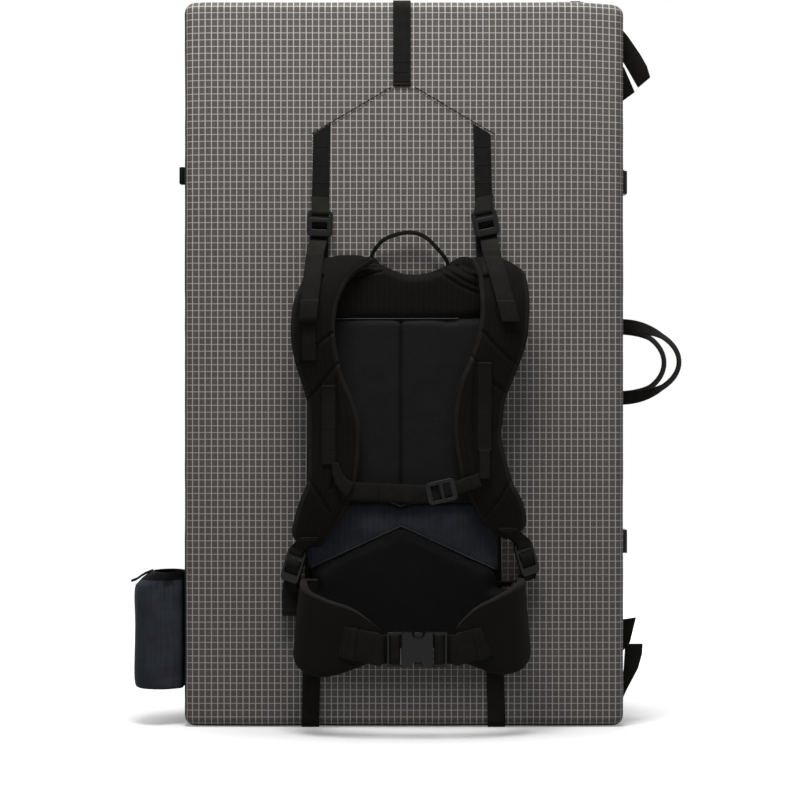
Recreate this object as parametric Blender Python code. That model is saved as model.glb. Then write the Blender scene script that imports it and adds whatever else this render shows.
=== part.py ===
"""A hinged bouldering crash pad, folded shut and standing on its bottom edges.

Metres, +Z up. The carrying side faces -Y. The origin is the middle of the front half's
bottom face. The two halves fold about a fabric hinge on the left edge (-X).
"""

import math

import bmesh
import bpy
from mathutils import Matrix, Vector

for thing in list(bpy.data.objects):
    bpy.data.objects.remove(thing)

# Clearances
seat_gap = 0.0003
cut_overrun = 0.004

# The two halves
pad_width = 0.634
pad_height = 1.045
half_thickness = 0.100
half_gap = 0.0006
cover_wall = 0.002
corner_radius = 0.016
edge_roll = 0.026
edge_depth = 0.022
foam_fit = 0.0005
closed_cell_thickness = 0.025

# Zips in the top sides
zip_length = 0.540
zip_slot_width = 0.008
zip_tape_width = 0.026
zip_tape_thickness = 0.0012
zip_slider_length = 0.016
zip_slider_width = 0.009
zip_slider_height = 0.004

# Fabric hinge
hinge_seam_width = 0.018
hinge_fabric_thickness = 0.0015

# Webbing
webbing_width = 0.0252
webbing_thickness = 0.0018
closure_webbing_width = 0.025
closure_height_low = 0.262
closure_height_high = 0.791
top_webbing_fall = 0.123
narrow_webbing_share = 0.8

# Harness layout on the front face
harness_middle = -0.003
harness_width = 0.270
harness_foot = 0.080
harness_height = 0.600
panel_thickness = 0.0012
back_pad_thickness = 0.022
back_pad_roll = 0.010
yoke_panel_thickness = 0.010
yoke_panel_roll = 0.004
channel_width = 0.006
channel_depth = 0.004

# Shoulder straps
strap_thickness = 0.016
strap_stand_off = 0.024
daisy_width = 0.019

# Ladder-lock buckles
lock_width = 0.037
lock_rail = 0.0045
lock_thickness = 0.004
lock_bar = 0.005
lock_window = 0.010
lock_upper_window = 0.008
lock_grip = 0.0085
lock_play = 0.0005
lock_stand_off = 0.0135
lower_lock_stand_off = 0.022
left_lifter_lean = math.radians(3)
right_lifter_lean = math.radians(-12)
lower_lock_lean = math.radians(10)

# Chest strap
chest_hook_length = 0.043
chest_hook_height = 0.028
chest_hook_thickness = 0.003
chest_hook_bar = 0.004
chest_hook_slot = 0.0045
keeper_width = 0.006
keeper_wall = 0.001

# Grab handle
grab_width = 0.010
grab_thickness = 0.0028
grab_stand_off = 0.012

# Hip belt
wing_thickness = 0.013
waist_webbing_width = 0.0465
belt_reach = 0.125
belt_root_reach = 0.146
buckle_height = 0.0485
buckle_length = 0.083
shell_length = 0.0425
shell_thickness = 0.014
shell_wall = 0.0022
frame_thickness = 0.006
frame_outer_bar = 0.0032
frame_slot = 0.0036
frame_bar = 0.0078
frame_inner_slot = 0.0050
frame_rail = 0.0032
notch_radius = 0.0095
notch_from_shell_end = 0.0225
tongue_height = 0.008
tongue_length = 0.022
prong_length = 0.033
prong_arm_height = 0.0045
prong_boss_height = 0.0065
prong_thickness = 0.007
prong_root_gap = 0.0005
prong_root_offset = 0.0125

# Side pocket
pocket_reach = 0.074
pocket_height = 0.170
pocket_foot = 0.052
pocket_depth = 0.090
pocket_wall = 0.0016
pocket_forward_share = 0.071
pull_tab_length = 0.024
pull_tab_width = 0.010

# Side handles
handle_reach = 0.0835
handle_span = 0.105
handle_rise = 0.0035
back_handle_reach = 0.073

# Closure buckles
closure_buckle_width = 0.034
closure_buckle_thickness = 0.0095
closure_female_length = 0.034
closure_male_base = 0.016
closure_tongue_length = 0.020
closure_play = 0.0010

# Corner straps
corner_reach = 0.045
corner_drop = 0.090
upper_tail_fall = 0.121
lower_tail_foot = 0.024

# Places worked out from the sizes above
half_width = pad_width / 2
front_face = -half_thickness / 2
landing_front = half_thickness / 2
landing_back = landing_front + half_gap
back_face = landing_back + half_thickness
side_flat_front = (front_face + edge_depth, landing_front - edge_depth)
side_flat_back = (landing_back + edge_depth, back_face - edge_depth)
panel_front = seat_gap + panel_thickness
webbing_front = panel_front + seat_gap + webbing_thickness
pad_seat = webbing_front + seat_gap
pad_front = pad_seat + back_pad_thickness
strap_base = pad_front + seat_gap + strap_thickness / 2
side_seat = half_width + seat_gap
handle_height = pad_height / 2 + handle_rise


# Edge profile of a half: share of the roll drawn in, share of the depth from the face
edge_profile_shares = ((1.0, 0.0), (0.44, 0.10), (0.15, 0.40), (0.0, 1.0))
corner_steps = 4


def finish(name, colour, roughness, metallic=0.0):
    """A Principled material of one colour (linear RGB)."""
    material = bpy.data.materials.new(name)
    material.use_nodes = True
    shader = material.node_tree.nodes["Principled BSDF"]
    shader.inputs["Base Color"].default_value = (*colour, 1.0)
    shader.inputs["Roughness"].default_value = roughness
    shader.inputs["Metallic"].default_value = metallic
    return material


check_grey = (0.13, 0.12, 0.12)
webbing_black = (0.016, 0.016, 0.014)
mesh_charcoal = (0.010, 0.010, 0.010)
ripstop_black = (0.006, 0.006, 0.006)
ripstop_navy = (0.017, 0.019, 0.025)
plastic_black = (0.019, 0.019, 0.019)
foam_white = (0.60, 0.58, 0.52)
foam_grey = (0.10, 0.11, 0.12)
metal_grey = (0.08, 0.08, 0.08)
FABRIC, PLASTIC, METAL = 0.9, 0.45, 0.35


def piece(name, shape, colour, roughness=FABRIC, metallic=0.0, origin=(0, 0, 0)):
    """Makes the bmesh a named object whose origin is at the given point."""
    bmesh.ops.remove_doubles(shape, verts=shape.verts, dist=seat_gap / 100)
    bmesh.ops.recalc_face_normals(shape, faces=shape.faces)
    bmesh.ops.translate(shape, verts=shape.verts, vec=-Vector(origin))
    mesh = bpy.data.meshes.new(name)
    shape.to_mesh(mesh)
    shape.free()
    mesh.materials.append(finish(name, colour, roughness, metallic))
    made = bpy.data.objects.new(name, mesh)
    made.location = origin
    bpy.context.scene.collection.objects.link(made)
    return made


def cut(target, shape, label, operation="DIFFERENCE"):
    """Takes the bmesh away from the target, or joins it on, with a hidden helper."""
    helper = piece(f"{target.name}_{label}_helper", shape, metal_grey)
    helper.hide_render = True
    helper.display_type = "WIRE"
    modifier = target.modifiers.new(label, "BOOLEAN")
    modifier.operation = operation
    modifier.solver = "EXACT"
    modifier.object = helper


def join(target, shape, label):
    """Joins the bmesh, which overlaps the target, on to it."""
    cut(target, shape, label, "UNION")


def add_box(shape, low, high):
    """Adds a box between two corners."""
    size = [b - a for a, b in zip(low, high)]
    middle = [(a + b) / 2 for a, b in zip(low, high)]
    matrix = Matrix.Translation(middle) @ Matrix.Diagonal((*size, 1))
    bmesh.ops.create_cube(shape, size=1, matrix=matrix)
    return shape


def add_loft(shape, rings):
    """Adds a closed solid through rings of as many points each."""
    loops = [[shape.verts.new(point) for point in ring] for ring in rings]
    for one, other in zip(loops, loops[1:]):
        for k in range(len(one)):
            after = (k + 1) % len(one)
            shape.faces.new((one[k], one[after], other[after], other[k]))
    shape.faces.new(loops[0][::-1])
    shape.faces.new(loops[-1])
    return shape


def add_cup(shape, outer, inner):
    """Adds a cup: outer rings from the bottom up, then inner rings from the top down."""
    return add_loft(shape, outer + inner[::-1])


strap_section_shares = ((-1, 0), (-0.86, 0.72), (-0.55, 1), (0.55, 1), (0.86, 0.72), (1, 0))
strap_section_shares += tuple((-s, -u) for s, u in strap_section_shares[1:-1])
flat_section_shares = ((-1, 1), (1, 1), (1, -1), (-1, -1))
channel_section_shares = ((-1, 0.2), (1, 0.2), (0, -1))


def add_sweep(shape, stations, section):
    """Adds a solid along stations of (centre, half width vector, half thickness vector)."""
    rings = [
        [centre + s * side + u * up for s, u in section] for centre, side, up in stations
    ]
    return add_loft(shape, rings)


def add_ribbon(shape, path, sides, width, thickness):
    """Adds a flat strap along a path, mitred where the path bends."""
    path = [Vector(p) for p in path]
    if isinstance(sides, Vector):
        sides = [sides] * len(path)
    spans = [b - a for a, b in zip(path, path[1:])]
    stations = []
    for k, (point, side) in enumerate(zip(path, sides)):
        before, after = spans[max(k - 1, 0)], spans[min(k, len(spans) - 1)]
        first, second = (side.cross(run).normalized() for run in (before, after))
        up = (first + second) / (1 + first.dot(second))
        stations.append((point, side * width / 2, up * thickness / 2))
    return add_sweep(shape, stations, flat_section_shares)


def add_plate(shape, outline, back, front, roll=0.0, roll_steps=2):
    """Adds a panel that stands in X and Z, from depth back to depth front, its face
    drawn in by the roll like a cushion's edge."""
    points = [shape.verts.new((x, front_face - back, z)) for x, z in outline]
    face = shape.faces.new(points)
    if face.normal.y == 0:
        face.normal_update()
    if face.normal.y > 0:
        face.normal_flip()
    whole = front - back
    bmesh_faces = bmesh.ops.extrude_face_region(shape, geom=[face])["geom"]
    moved = [v for v in bmesh_faces if isinstance(v, bmesh.types.BMVert)]
    rise = whole - (roll if roll else 0)
    bmesh.ops.translate(shape, verts=moved, vec=(0, -rise, 0))
    cap = [f for f in bmesh_faces if isinstance(f, bmesh.types.BMFace)]
    if roll:
        bmesh.ops.recalc_face_normals(shape, faces=shape.faces)
        for k in range(roll_steps):
            turn = math.pi / 2 / roll_steps
            inward = roll * (math.cos(k * turn) - math.cos((k + 1) * turn))
            outward = roll * (math.sin((k + 1) * turn) - math.sin(k * turn))
            bmesh.ops.inset_region(
                shape, faces=cap, thickness=inward, depth=outward, use_even_offset=True
            )
    return shape


def at(x_share, z_share):
    """A place on the front face, from shares of the harness."""
    return harness_middle + x_share * harness_width, harness_foot + z_share * harness_height


def place(x_share, z_share, depth):
    """The same place at a depth in front of the front face."""
    x, z = at(x_share, z_share)
    return Vector((x, front_face - depth, z))


ACROSS, OUT, UP = Vector((1, 0, 0)), Vector((0, -1, 0)), Vector((0, 0, 1))


# Covers and foam


def outline_of_half(drawn_in):
    """Rounded rectangle of a half, drawn in from its outer sides."""
    across = half_width - drawn_in - corner_radius
    low, high = drawn_in + corner_radius, pad_height - drawn_in - corner_radius
    centres = ((across, high), (-across, high), (-across, low), (across, low))
    points = []
    for quarter, (x, z) in enumerate(centres):
        for step in range(corner_steps + 1):
            turn = math.pi / 2 * (quarter + step / corner_steps)
            points.append(
                (x + corner_radius * math.cos(turn), z + corner_radius * math.sin(turn))
            )
    return points


def rings_of_half(low, high, offset=0.0):
    """Rings of a half between two faces, its whole surface moved in by the offset."""
    marks = [
        (edge_roll * roll + offset, offset + edge_depth * depth)
        for roll, depth in edge_profile_shares
    ]
    levels = [(inset, low + y) for inset, y in marks]
    levels += [(inset, high - y) for inset, y in reversed(marks)]
    return [[(x, y, z) for x, z in outline_of_half(inset)] for inset, y in levels]


def cover(name, low, high):
    """A fabric case with a zip slot through its top side."""
    made = piece(name, add_loft(bmesh.new(), rings_of_half(low, high)), check_grey)
    cut(made, add_loft(bmesh.new(), rings_of_half(low, high, cover_wall)), "hollow")
    middle = (low + high) / 2
    slot = add_box(
        bmesh.new(),
        (-zip_length / 2, middle - zip_slot_width / 2, pad_height - cover_wall - cut_overrun),
        (zip_length / 2, middle + zip_slot_width / 2, pad_height + cut_overrun),
    )
    cut(made, slot, "zip")
    return made


def foam(name, low, high, slice_low, slice_high, colour):
    """The part of the cover's filling that lies between two planes."""
    shape = add_loft(bmesh.new(), rings_of_half(low, high, cover_wall + foam_fit))
    bmesh.ops.recalc_face_normals(shape, faces=shape.faces)
    for y, way in ((slice_low, -1), (slice_high, 1)):
        everything = shape.verts[:] + shape.edges[:] + shape.faces[:]
        sliced = bmesh.ops.bisect_plane(
            shape, geom=everything, plane_co=(0, y, 0), plane_no=(0, way, 0), clear_outer=True
        )
        edges = [e for e in sliced["geom_cut"] if isinstance(e, bmesh.types.BMEdge)]
        if edges:
            bmesh.ops.edgeloop_fill(shape, edges=edges)
    return piece(name, shape, colour)


cover("front_cover", front_face, landing_front)
cover("back_cover", landing_back, back_face)
sheet_back = closed_cell_thickness + cover_wall + foam_fit
for side, low, high, split, toward in (
    ("front", front_face, landing_front, landing_front - sheet_back, 1),
    ("back", landing_back, back_face, landing_back + sheet_back, -1),
):
    sheet = sorted((split + toward * seat_gap / 2, split + toward * half_thickness))
    block = sorted((split - toward * seat_gap / 2, split - toward * half_thickness))
    foam(f"{side}_closed_cell_foam", low, high, *sheet, foam_grey)
    foam(f"{side}_open_cell_foam", low, high, *block, foam_white)

# Zips

for side, low, high in (
    ("front", front_face, landing_front),
    ("back", landing_back, back_face),
):
    middle = (low + high) / 2
    base = pad_height + seat_gap
    tape_end = zip_length / 2 + zip_tape_width / 2
    tape_top = base + zip_tape_thickness
    tape = add_box(
        bmesh.new(),
        (-tape_end, middle - zip_tape_width / 2, base),
        (tape_end, middle + zip_tape_width / 2, tape_top),
    )
    piece(f"{side}_zipper_tape", tape, ripstop_black)
    slider_x = zip_length / 2 - zip_slider_length
    foot = tape_top + seat_gap
    slider = add_box(
        bmesh.new(),
        (slider_x - zip_slider_length / 2, middle - zip_slider_width / 2, foot),
        (slider_x + zip_slider_length / 2, middle + zip_slider_width / 2, foot + zip_slider_height),
    )
    bmesh.ops.bevel(
        slider,
        geom=slider.edges,
        offset=zip_slider_height / 5,
        segments=1,
        profile=0.5,
        material=-1,
        affect="EDGES",
    )
    piece(
        f"{side}_zip_slider", slider, metal_grey, METAL, 1.0, origin=(slider_x, middle, foot)
    )

# Fabric hinge along the left edge

hinge_outside = -side_seat - hinge_fabric_thickness
hinge_low, hinge_high = corner_radius + edge_roll, pad_height - corner_radius - edge_roll
hinge = add_box(
    bmesh.new(),
    (hinge_outside, side_flat_front[1] - hinge_seam_width, hinge_low),
    (-side_seat, side_flat_back[0] + hinge_seam_width, hinge_high),
)
piece("fold_hinge", hinge, ripstop_black)

# Webbings that lie on the covers


def edge_path(lift):
    """The rolled edge between a face and a side, lifted off it: (from the side, from
    the face), starting on the face."""
    marks = [(edge_roll * roll, edge_depth * depth) for roll, depth in edge_profile_shares]
    points = [(marks[0][0] + edge_depth, 0.0), *marks]
    lifted = []
    for k, point in enumerate(points):
        runs = []
        for a, b in ((k - 1, k), (k, k + 1)):
            if a >= 0 and b < len(points):
                run = Vector(points[b]) - Vector(points[a])
                runs.append(Vector((-run.y, run.x)).normalized())
        normal = sum(runs, Vector((0, 0))) / (1 + (runs[0].dot(runs[-1]) if len(runs) > 1 else 0))
        lifted.append(Vector(point) + normal * lift)
    return lifted


webbing_lift = seat_gap + webbing_thickness / 2
top_path = [Vector((harness_middle, front_face - webbing_lift, pad_height - top_webbing_fall))]
for from_side, from_face in edge_path(webbing_lift):
    top_path.append(
        Vector((harness_middle, front_face + from_face, pad_height - from_side))
    )
top_webbing = add_ribbon(bmesh.new(), top_path, ACROSS, webbing_width, webbing_thickness)
piece("top_webbing", top_webbing, webbing_black)

panel_outline_shares = (
    (-0.055, 1.400), (0.067, 1.400), (0.499, 1.285),
    (0.490, 0.171), (-0.484, 0.171), (-0.484, 1.287),
)
panel = add_plate(
    bmesh.new(), [at(*share) for share in panel_outline_shares], seat_gap, panel_front
)
piece("reinforcement_panel", panel, check_grey)

# Ladder-lock buckles. Local axes: X across, Z up along the webbing, the middle bar at 0

window_low = -lock_bar / 2 - lock_window
lock_low = window_low - lock_grip
top_bar_low = lock_bar / 2 + lock_upper_window
lock_top = top_bar_low + lock_bar
top_bar_middle = (top_bar_low + lock_top) / 2
wrap_off = lock_thickness / 2 + lock_play + webbing_thickness / 2
load_strip_off = wrap_off + webbing_thickness + 6 * lock_play
wrap_over = lock_bar / 2 + lock_play + webbing_thickness / 2
loop_radius = math.hypot(lock_bar, lock_thickness) / 2 + lock_play + webbing_thickness / 2


def lock_matrix(middle, lean):
    """Places a ladder-lock: lean turns it in the plane of the face."""
    return Matrix.Translation(middle) @ Matrix.Rotation(lean, 4, "Y")


def ladder_lock(name, matrix):
    """A moulded buckle with two windows, its origin on the axis of its top bar."""
    shape = bmesh.new()
    half, inner = lock_width / 2, lock_width / 2 - lock_rail
    across = (-half, -inner, inner, half)
    heights = (lock_low, window_low, -lock_bar / 2, lock_bar / 2, top_bar_low, lock_top)
    grid = [[shape.verts.new((x, lock_thickness / 2, z)) for x in across] for z in heights]
    faces = []
    for row in range(len(heights) - 1):
        for column in range(len(across) - 1):
            if column == 1 and row in (1, 3):
                continue
            one, other = grid[row], grid[row + 1]
            faces.append(
                shape.faces.new((one[column], one[column + 1], other[column + 1], other[column]))
            )
    grown = bmesh.ops.extrude_face_region(shape, geom=faces)["geom"]
    moved = [v for v in grown if isinstance(v, bmesh.types.BMVert)]
    bmesh.ops.translate(shape, verts=moved, vec=(0, -lock_thickness, 0))
    bmesh.ops.transform(shape, verts=shape.verts, matrix=matrix)
    pivot = matrix @ Vector((0, 0, top_bar_middle))
    return piece(name, shape, plastic_black, PLASTIC, origin=pivot)


def lock_wrap(matrix):
    """The webbing's way round the middle bar: up behind it, over it and down behind the
    grip, as points from the load side to the tail."""
    half = lock_thickness / 2
    points = (
        (lock_low - lock_bar, -load_strip_off),
        (window_low - wrap_off, -load_strip_off),
        (lock_bar / 2, -wrap_off),
        (wrap_over, -half),
        (wrap_over, half),
        (lock_bar / 2, wrap_off),
        (-lock_bar / 2, wrap_off),
        (-wrap_over, half),
        (window_low + wrap_off - half, -half),
        (window_low, -wrap_off),
        (lock_low - lock_bar / 2, -wrap_off - lock_play),
    )
    return [matrix @ Vector((0, -depth, height)) for height, depth in points]


def loop_round_bar(matrix, front_end, back_end):
    """A sewn loop round the top bar, between two world points where it is stitched."""
    turns = [math.radians(a) for a in (55, 0, -45, -90, -135, 180, 125)]
    ring = [
        matrix
        @ Vector((0, -loop_radius * math.cos(a), top_bar_middle + loop_radius * math.sin(a)))
        for a in turns
    ]
    return [Vector(front_end), *ring, Vector(back_end)]


locks = {}
for hand, x_share, z_share, lean in (
    ("left", -0.435, 1.076, left_lifter_lean),
    ("right", 0.441, 1.078, right_lifter_lean),
):
    locks[hand] = lock_matrix(place(x_share, z_share, lock_stand_off), lean)
    ladder_lock(f"{hand}_lifter_lock", locks[hand])

long_top_shares = {"left": -0.426, "right": 0.425}
long_foot_shares = {"left": -0.487, "right": 0.504}
for hand in ("left", "right"):
    top_x, top_z = at(long_top_shares[hand], 1.300)
    foot_x = at(long_foot_shares[hand], 0)[0]
    lift = panel_front + webbing_lift
    path = [Vector((top_x, front_face - lift, top_z))]
    for from_side, from_face in edge_path(lift)[:-1]:
        share = (top_z - from_side) / top_z
        path.append(
            Vector((top_x + (foot_x - top_x) * share, front_face + from_face, from_side))
        )
    shape = add_ribbon(bmesh.new(), path, ACROSS, webbing_width, webbing_thickness)
    webbing = piece(f"{hand}_long_webbing", shape, webbing_black)
    matrix = locks[hand]
    stitched = matrix.translation + UP * (lock_top + 2 * lock_window)
    rest = front_face - webbing_front - webbing_thickness / 2 + seat_gap
    spread = webbing_thickness + 2 * lock_play
    back_end = (stitched.x, rest, stitched.z)
    front_end = (stitched.x, rest - spread, stitched.z)
    loop = loop_round_bar(matrix, front_end, back_end)
    side = matrix.to_3x3() @ ACROSS
    shape = add_ribbon(bmesh.new(), loop, side, webbing_width, webbing_thickness)
    join(webbing, shape, "loop")

# Back pads

upper_outline_shares = (
    (-0.497, 0.848), (-0.497, 0.908), (-0.381, 0.950), (-0.264, 0.964), (-0.111, 0.970),
    (-0.063, 0.959), (0.006, 0.947), (0.074, 0.945), (0.148, 0.950), (0.207, 0.961),
    (0.307, 0.964), (0.402, 0.950), (0.503, 0.908), (0.503, 0.848),
)
centre_outline_shares = (
    (-0.476, 0.843), (-0.005, 0.843), (0.482, 0.843), (0.466, 0.410),
    (0.048, 0.407), (-0.005, 0.398), (-0.074, 0.410), (-0.460, 0.410),
)
yoke_outline_shares = (
    (-0.501, 0.404), (-0.074, 0.404), (-0.005, 0.392), (0.048, 0.401), (0.505, 0.404),
    (0.505, 0.242), (0.255, 0.292), (0.000, 0.346), (-0.276, 0.290), (-0.493, 0.245),
)
lumbar_outline_shares = (
    (0.000, 0.341), (0.254, 0.287), (0.456, 0.240), (0.461, 0.198), (0.655, 0.193),
    (0.655, 0.020), (0.424, 0.003), (-0.413, 0.003), (-0.520, 0.020), (-0.520, 0.193),
    (-0.450, 0.198), (-0.450, 0.240), (-0.275, 0.284),
)
for name, shares, back, front, roll, colour in (
    ("upper_back_pad", upper_outline_shares, pad_seat, pad_front, back_pad_roll, ripstop_black),
    ("centre_back_pad", centre_outline_shares, pad_seat, pad_front, back_pad_roll, mesh_charcoal),
    (
        "yoke_panel", yoke_outline_shares, pad_seat, pad_seat + yoke_panel_thickness,
        yoke_panel_roll, ripstop_navy,
    ),
    ("lumbar_pad", lumbar_outline_shares, pad_seat, pad_front, back_pad_roll, ripstop_black),
):
    outline = [at(*share) for share in shares]
    made = piece(name, add_plate(bmesh.new(), outline, back, front, roll), colour)
    if name == "centre_back_pad":
        seam_x, seam_low = at(-0.005, 0.398)
        seam_top = at(-0.005, 0.843)[1]
        channel = add_sweep(
            bmesh.new(),
            [
                (
                    Vector((seam_x, front_face - front, z)),
                    ACROSS * channel_width / 2,
                    OUT * channel_depth,
                )
                for z in (seam_low - cut_overrun, seam_top + cut_overrun)
            ],
            channel_section_shares,
        )
        cut(made, channel, "seam")

# Shoulder straps. Rows: height, left edge, right edge, share of the stand-off

strap_row_shares = {
    "left": (
        (0.994, -0.365, -0.215, -0.06), (0.978, -0.427, -0.179, 0.00),
        (0.958, -0.479, -0.263, 0.33), (0.934, -0.520, -0.278, 0.58),
        (0.886, -0.566, -0.330, 0.91), (0.839, -0.581, -0.348, 1.00),
        (0.792, -0.581, -0.348, 0.96), (0.745, -0.564, -0.330, 0.79),
        (0.698, -0.533, -0.302, 0.62), (0.651, -0.502, -0.255, 0.45),
        (0.603, -0.499, -0.223, 0.37), (0.556, -0.500, -0.216, 0.30),
        (0.461, -0.500, -0.237, 0.25), (0.413, -0.538, -0.269, 0.12),
        (0.365, -0.571, -0.322, -0.08), (0.329, -0.579, -0.376, -0.20),
        (0.300, -0.524, -0.434, -0.28),
    ),
    "right": (
        (0.996, 0.290, 0.455, -0.06), (0.978, 0.232, 0.545, 0.00), (0.958, 0.320, 0.630, 0.33),
        (0.934, 0.392, 0.656, 0.58), (0.886, 0.411, 0.668, 0.91),
        (0.839, 0.408, 0.665, 1.00), (0.792, 0.388, 0.655, 0.96),
        (0.745, 0.351, 0.624, 0.79), (0.698, 0.307, 0.583, 0.62),
        (0.651, 0.284, 0.544, 0.45), (0.603, 0.271, 0.531, 0.37),
        (0.556, 0.276, 0.526, 0.30), (0.461, 0.311, 0.580, 0.25),
        (0.413, 0.359, 0.634, 0.12), (0.365, 0.418, 0.658, -0.08),
        (0.341, 0.471, 0.635, -0.16), (0.322, 0.535, 0.575, -0.24),
    ),
}
strap_root = (harness_middle, front_face - strap_base, at(0, strap_row_shares["left"][1][0])[1])


def strap_depth(stand_off_share):
    """Depth of a strap's middle in front of the front face."""
    return strap_base + stand_off_share * strap_stand_off


def strap_front(hand, z_share):
    """Depth of a strap's front surface at a height."""
    rows = strap_row_shares[hand]
    clamped = min(max(z_share, rows[-1][0]), rows[0][0])
    upper, lower = next(pair for pair in zip(rows, rows[1:]) if pair[1][0] <= clamped)
    share = (upper[0] - clamped) / (upper[0] - lower[0])
    depth = strap_depth(upper[3]) * (1 - share) + strap_depth(lower[3]) * share
    return depth + strap_thickness / 2


lower_locks = {
    "left": lock_matrix(place(-0.569, 0.262, lower_lock_stand_off), lower_lock_lean),
    "right": lock_matrix(place(0.655, 0.279, lower_lock_stand_off), -lower_lock_lean),
}
loop_shares = {"left": (-0.490, 0.325), "right": (0.556, 0.347)}
for hand, rows in strap_row_shares.items():
    stations = []
    for z_share, low_share, high_share, off in rows:
        low = place(low_share, z_share, strap_depth(off))
        high = place(high_share, z_share, strap_depth(off))
        stations.append(((low + high) / 2, (high - low) / 2, OUT * strap_thickness / 2))
    shape = add_sweep(bmesh.new(), stations, strap_section_shares)
    strap = piece(f"{hand}_shoulder_strap", shape, ripstop_black, origin=strap_root)
    matrix = lower_locks[hand]
    ladder_lock(f"{hand}_strap_lock", matrix)
    depth = strap_front(hand, loop_shares[hand][1]) + webbing_thickness / 2 - seat_gap
    back_end = place(*loop_shares[hand], depth)
    front_end = back_end + OUT * (webbing_thickness + 2 * lock_play)
    loop = loop_round_bar(matrix, front_end, back_end)
    side = matrix.to_3x3() @ ACROSS
    shape = add_ribbon(bmesh.new(), loop, side, webbing_width, webbing_thickness)
    join(strap, shape, "loop")


def path_on_strap(hand, top, foot, lift):
    """A line down a strap's front between two (x share, z share) places, lifted off it."""
    heights = [row[0] for row in strap_row_shares[hand] if foot[1] < row[0] < top[1]]
    path = []
    for z_share in (top[1], *heights, foot[1]):
        share = (top[1] - z_share) / (top[1] - foot[1])
        x_share = top[0] + (foot[0] - top[0]) * share
        path.append(place(x_share, z_share, strap_front(hand, z_share) + lift))
    return path


# Slotted webbing on the straps

daisy_shares = {
    "left": ((-0.385, 0.686), (-0.385, 0.497)),
    "right": ((0.434, 0.740), (0.434, 0.530)),
}
for hand, (top, foot) in daisy_shares.items():
    path = path_on_strap(hand, top, foot, webbing_lift)
    shape = add_ribbon(bmesh.new(), path, ACROSS, daisy_width, webbing_thickness)
    piece(f"{hand}_daisy_webbing", shape, webbing_black, origin=strap_root)

# Load-lifter webbings: sewn on the strap, up through the lock and back as a tail

lifter_x_shares = {"left": (-0.455, -0.493), "right": (0.470, 0.569)}
load_z_shares, tail_z_shares = (1.000, 0.945), (1.004, 0.834)
tail_lift = 3 * webbing_thickness + webbing_lift
for hand, (near_share, far_share) in lifter_x_shares.items():
    matrix = locks[hand]
    wrap = lock_wrap(matrix)
    load_end = path_on_strap(
        hand, (near_share, load_z_shares[0]), (near_share, load_z_shares[1]), webbing_lift
    )
    tail = path_on_strap(hand, (near_share, tail_z_shares[0]), (far_share, tail_z_shares[1]), tail_lift)
    path = load_end[::-1] + wrap + tail
    turned = matrix.to_3x3() @ ACROSS
    sides = [ACROSS] * len(load_end) + [turned] * len(wrap) + [ACROSS] * len(tail)
    shape = add_ribbon(bmesh.new(), path, sides, webbing_width, webbing_thickness)
    piece(f"{hand}_lifter_webbing", shape, webbing_black)

# Lower webbings: sewn beside the lumbar pad, up through the lower lock and down again

anchor_shares = {
    "left": ((-0.510, 0.205), (-0.512, 0.222)), "right": ((0.530, 0.205), (0.540, 0.222)),
}
lower_tail_shares = {
    "left": ((-0.583, 0.190), (-0.588, 0.136)), "right": ((0.675, 0.225), (0.674, 0.205)),
}
tail_depth = webbing_front + 6 * webbing_thickness
for hand, anchor in anchor_shares.items():
    matrix = lower_locks[hand]
    wrap = lock_wrap(matrix)
    sewn = [place(*share, webbing_front + webbing_lift) for share in anchor]
    tail = [place(*share, tail_depth) for share in lower_tail_shares[hand]]
    path = sewn + wrap + tail
    sides = [ACROSS] * 2 + [matrix.to_3x3() @ ACROSS] * len(wrap) + [ACROSS] * 2
    shape = add_ribbon(bmesh.new(), path, sides, webbing_width, webbing_thickness)
    piece(f"{hand}_lower_webbing", shape, webbing_black)

# Chest strap

chest_z_share = 0.437
chest_left_share, hook_left_share = -0.400, 0.137
chest_top_share = chest_z_share + webbing_width / 2 / harness_height
chest_depth = strap_front("left", chest_top_share) + seat_gap
chest_middle = chest_depth + webbing_thickness / 2
chest_left = place(chest_left_share, chest_z_share, chest_depth)
hook_left = place(hook_left_share, chest_z_share, chest_middle)
hook_right = hook_left + ACROSS * chest_hook_length
bar_left = hook_left.x + chest_hook_bar + chest_hook_slot
hook_half = chest_hook_thickness / 2
hook_wrap = hook_half + lock_play + webbing_thickness / 2
bar_turn = webbing_thickness / 2 + lock_play
chest_path = [chest_left + OUT * webbing_thickness / 2]
chest_path.append(hook_left - ACROSS * 2 * chest_hook_slot)
chest_path += [
    hook_left + OUT * depth + ACROSS * x
    for x, depth in (
        (-chest_hook_bar, -hook_wrap),
        (chest_hook_bar, -hook_wrap),
        (chest_hook_bar + bar_turn, -hook_half),
        (chest_hook_bar + bar_turn, hook_half),
        (chest_hook_bar, hook_wrap),
        (-chest_hook_bar, hook_wrap),
    )
]
over_itself = OUT * (webbing_thickness + 2 * lock_play)
chest_path.append(hook_left - ACROSS * 2 * chest_hook_slot + over_itself)
chest_path.append(hook_left - ACROSS * 6 * chest_hook_slot + over_itself)
shape = add_ribbon(bmesh.new(), chest_path, UP, webbing_width, webbing_thickness)
piece("chest_webbing", shape, webbing_black, origin=chest_left)

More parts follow.
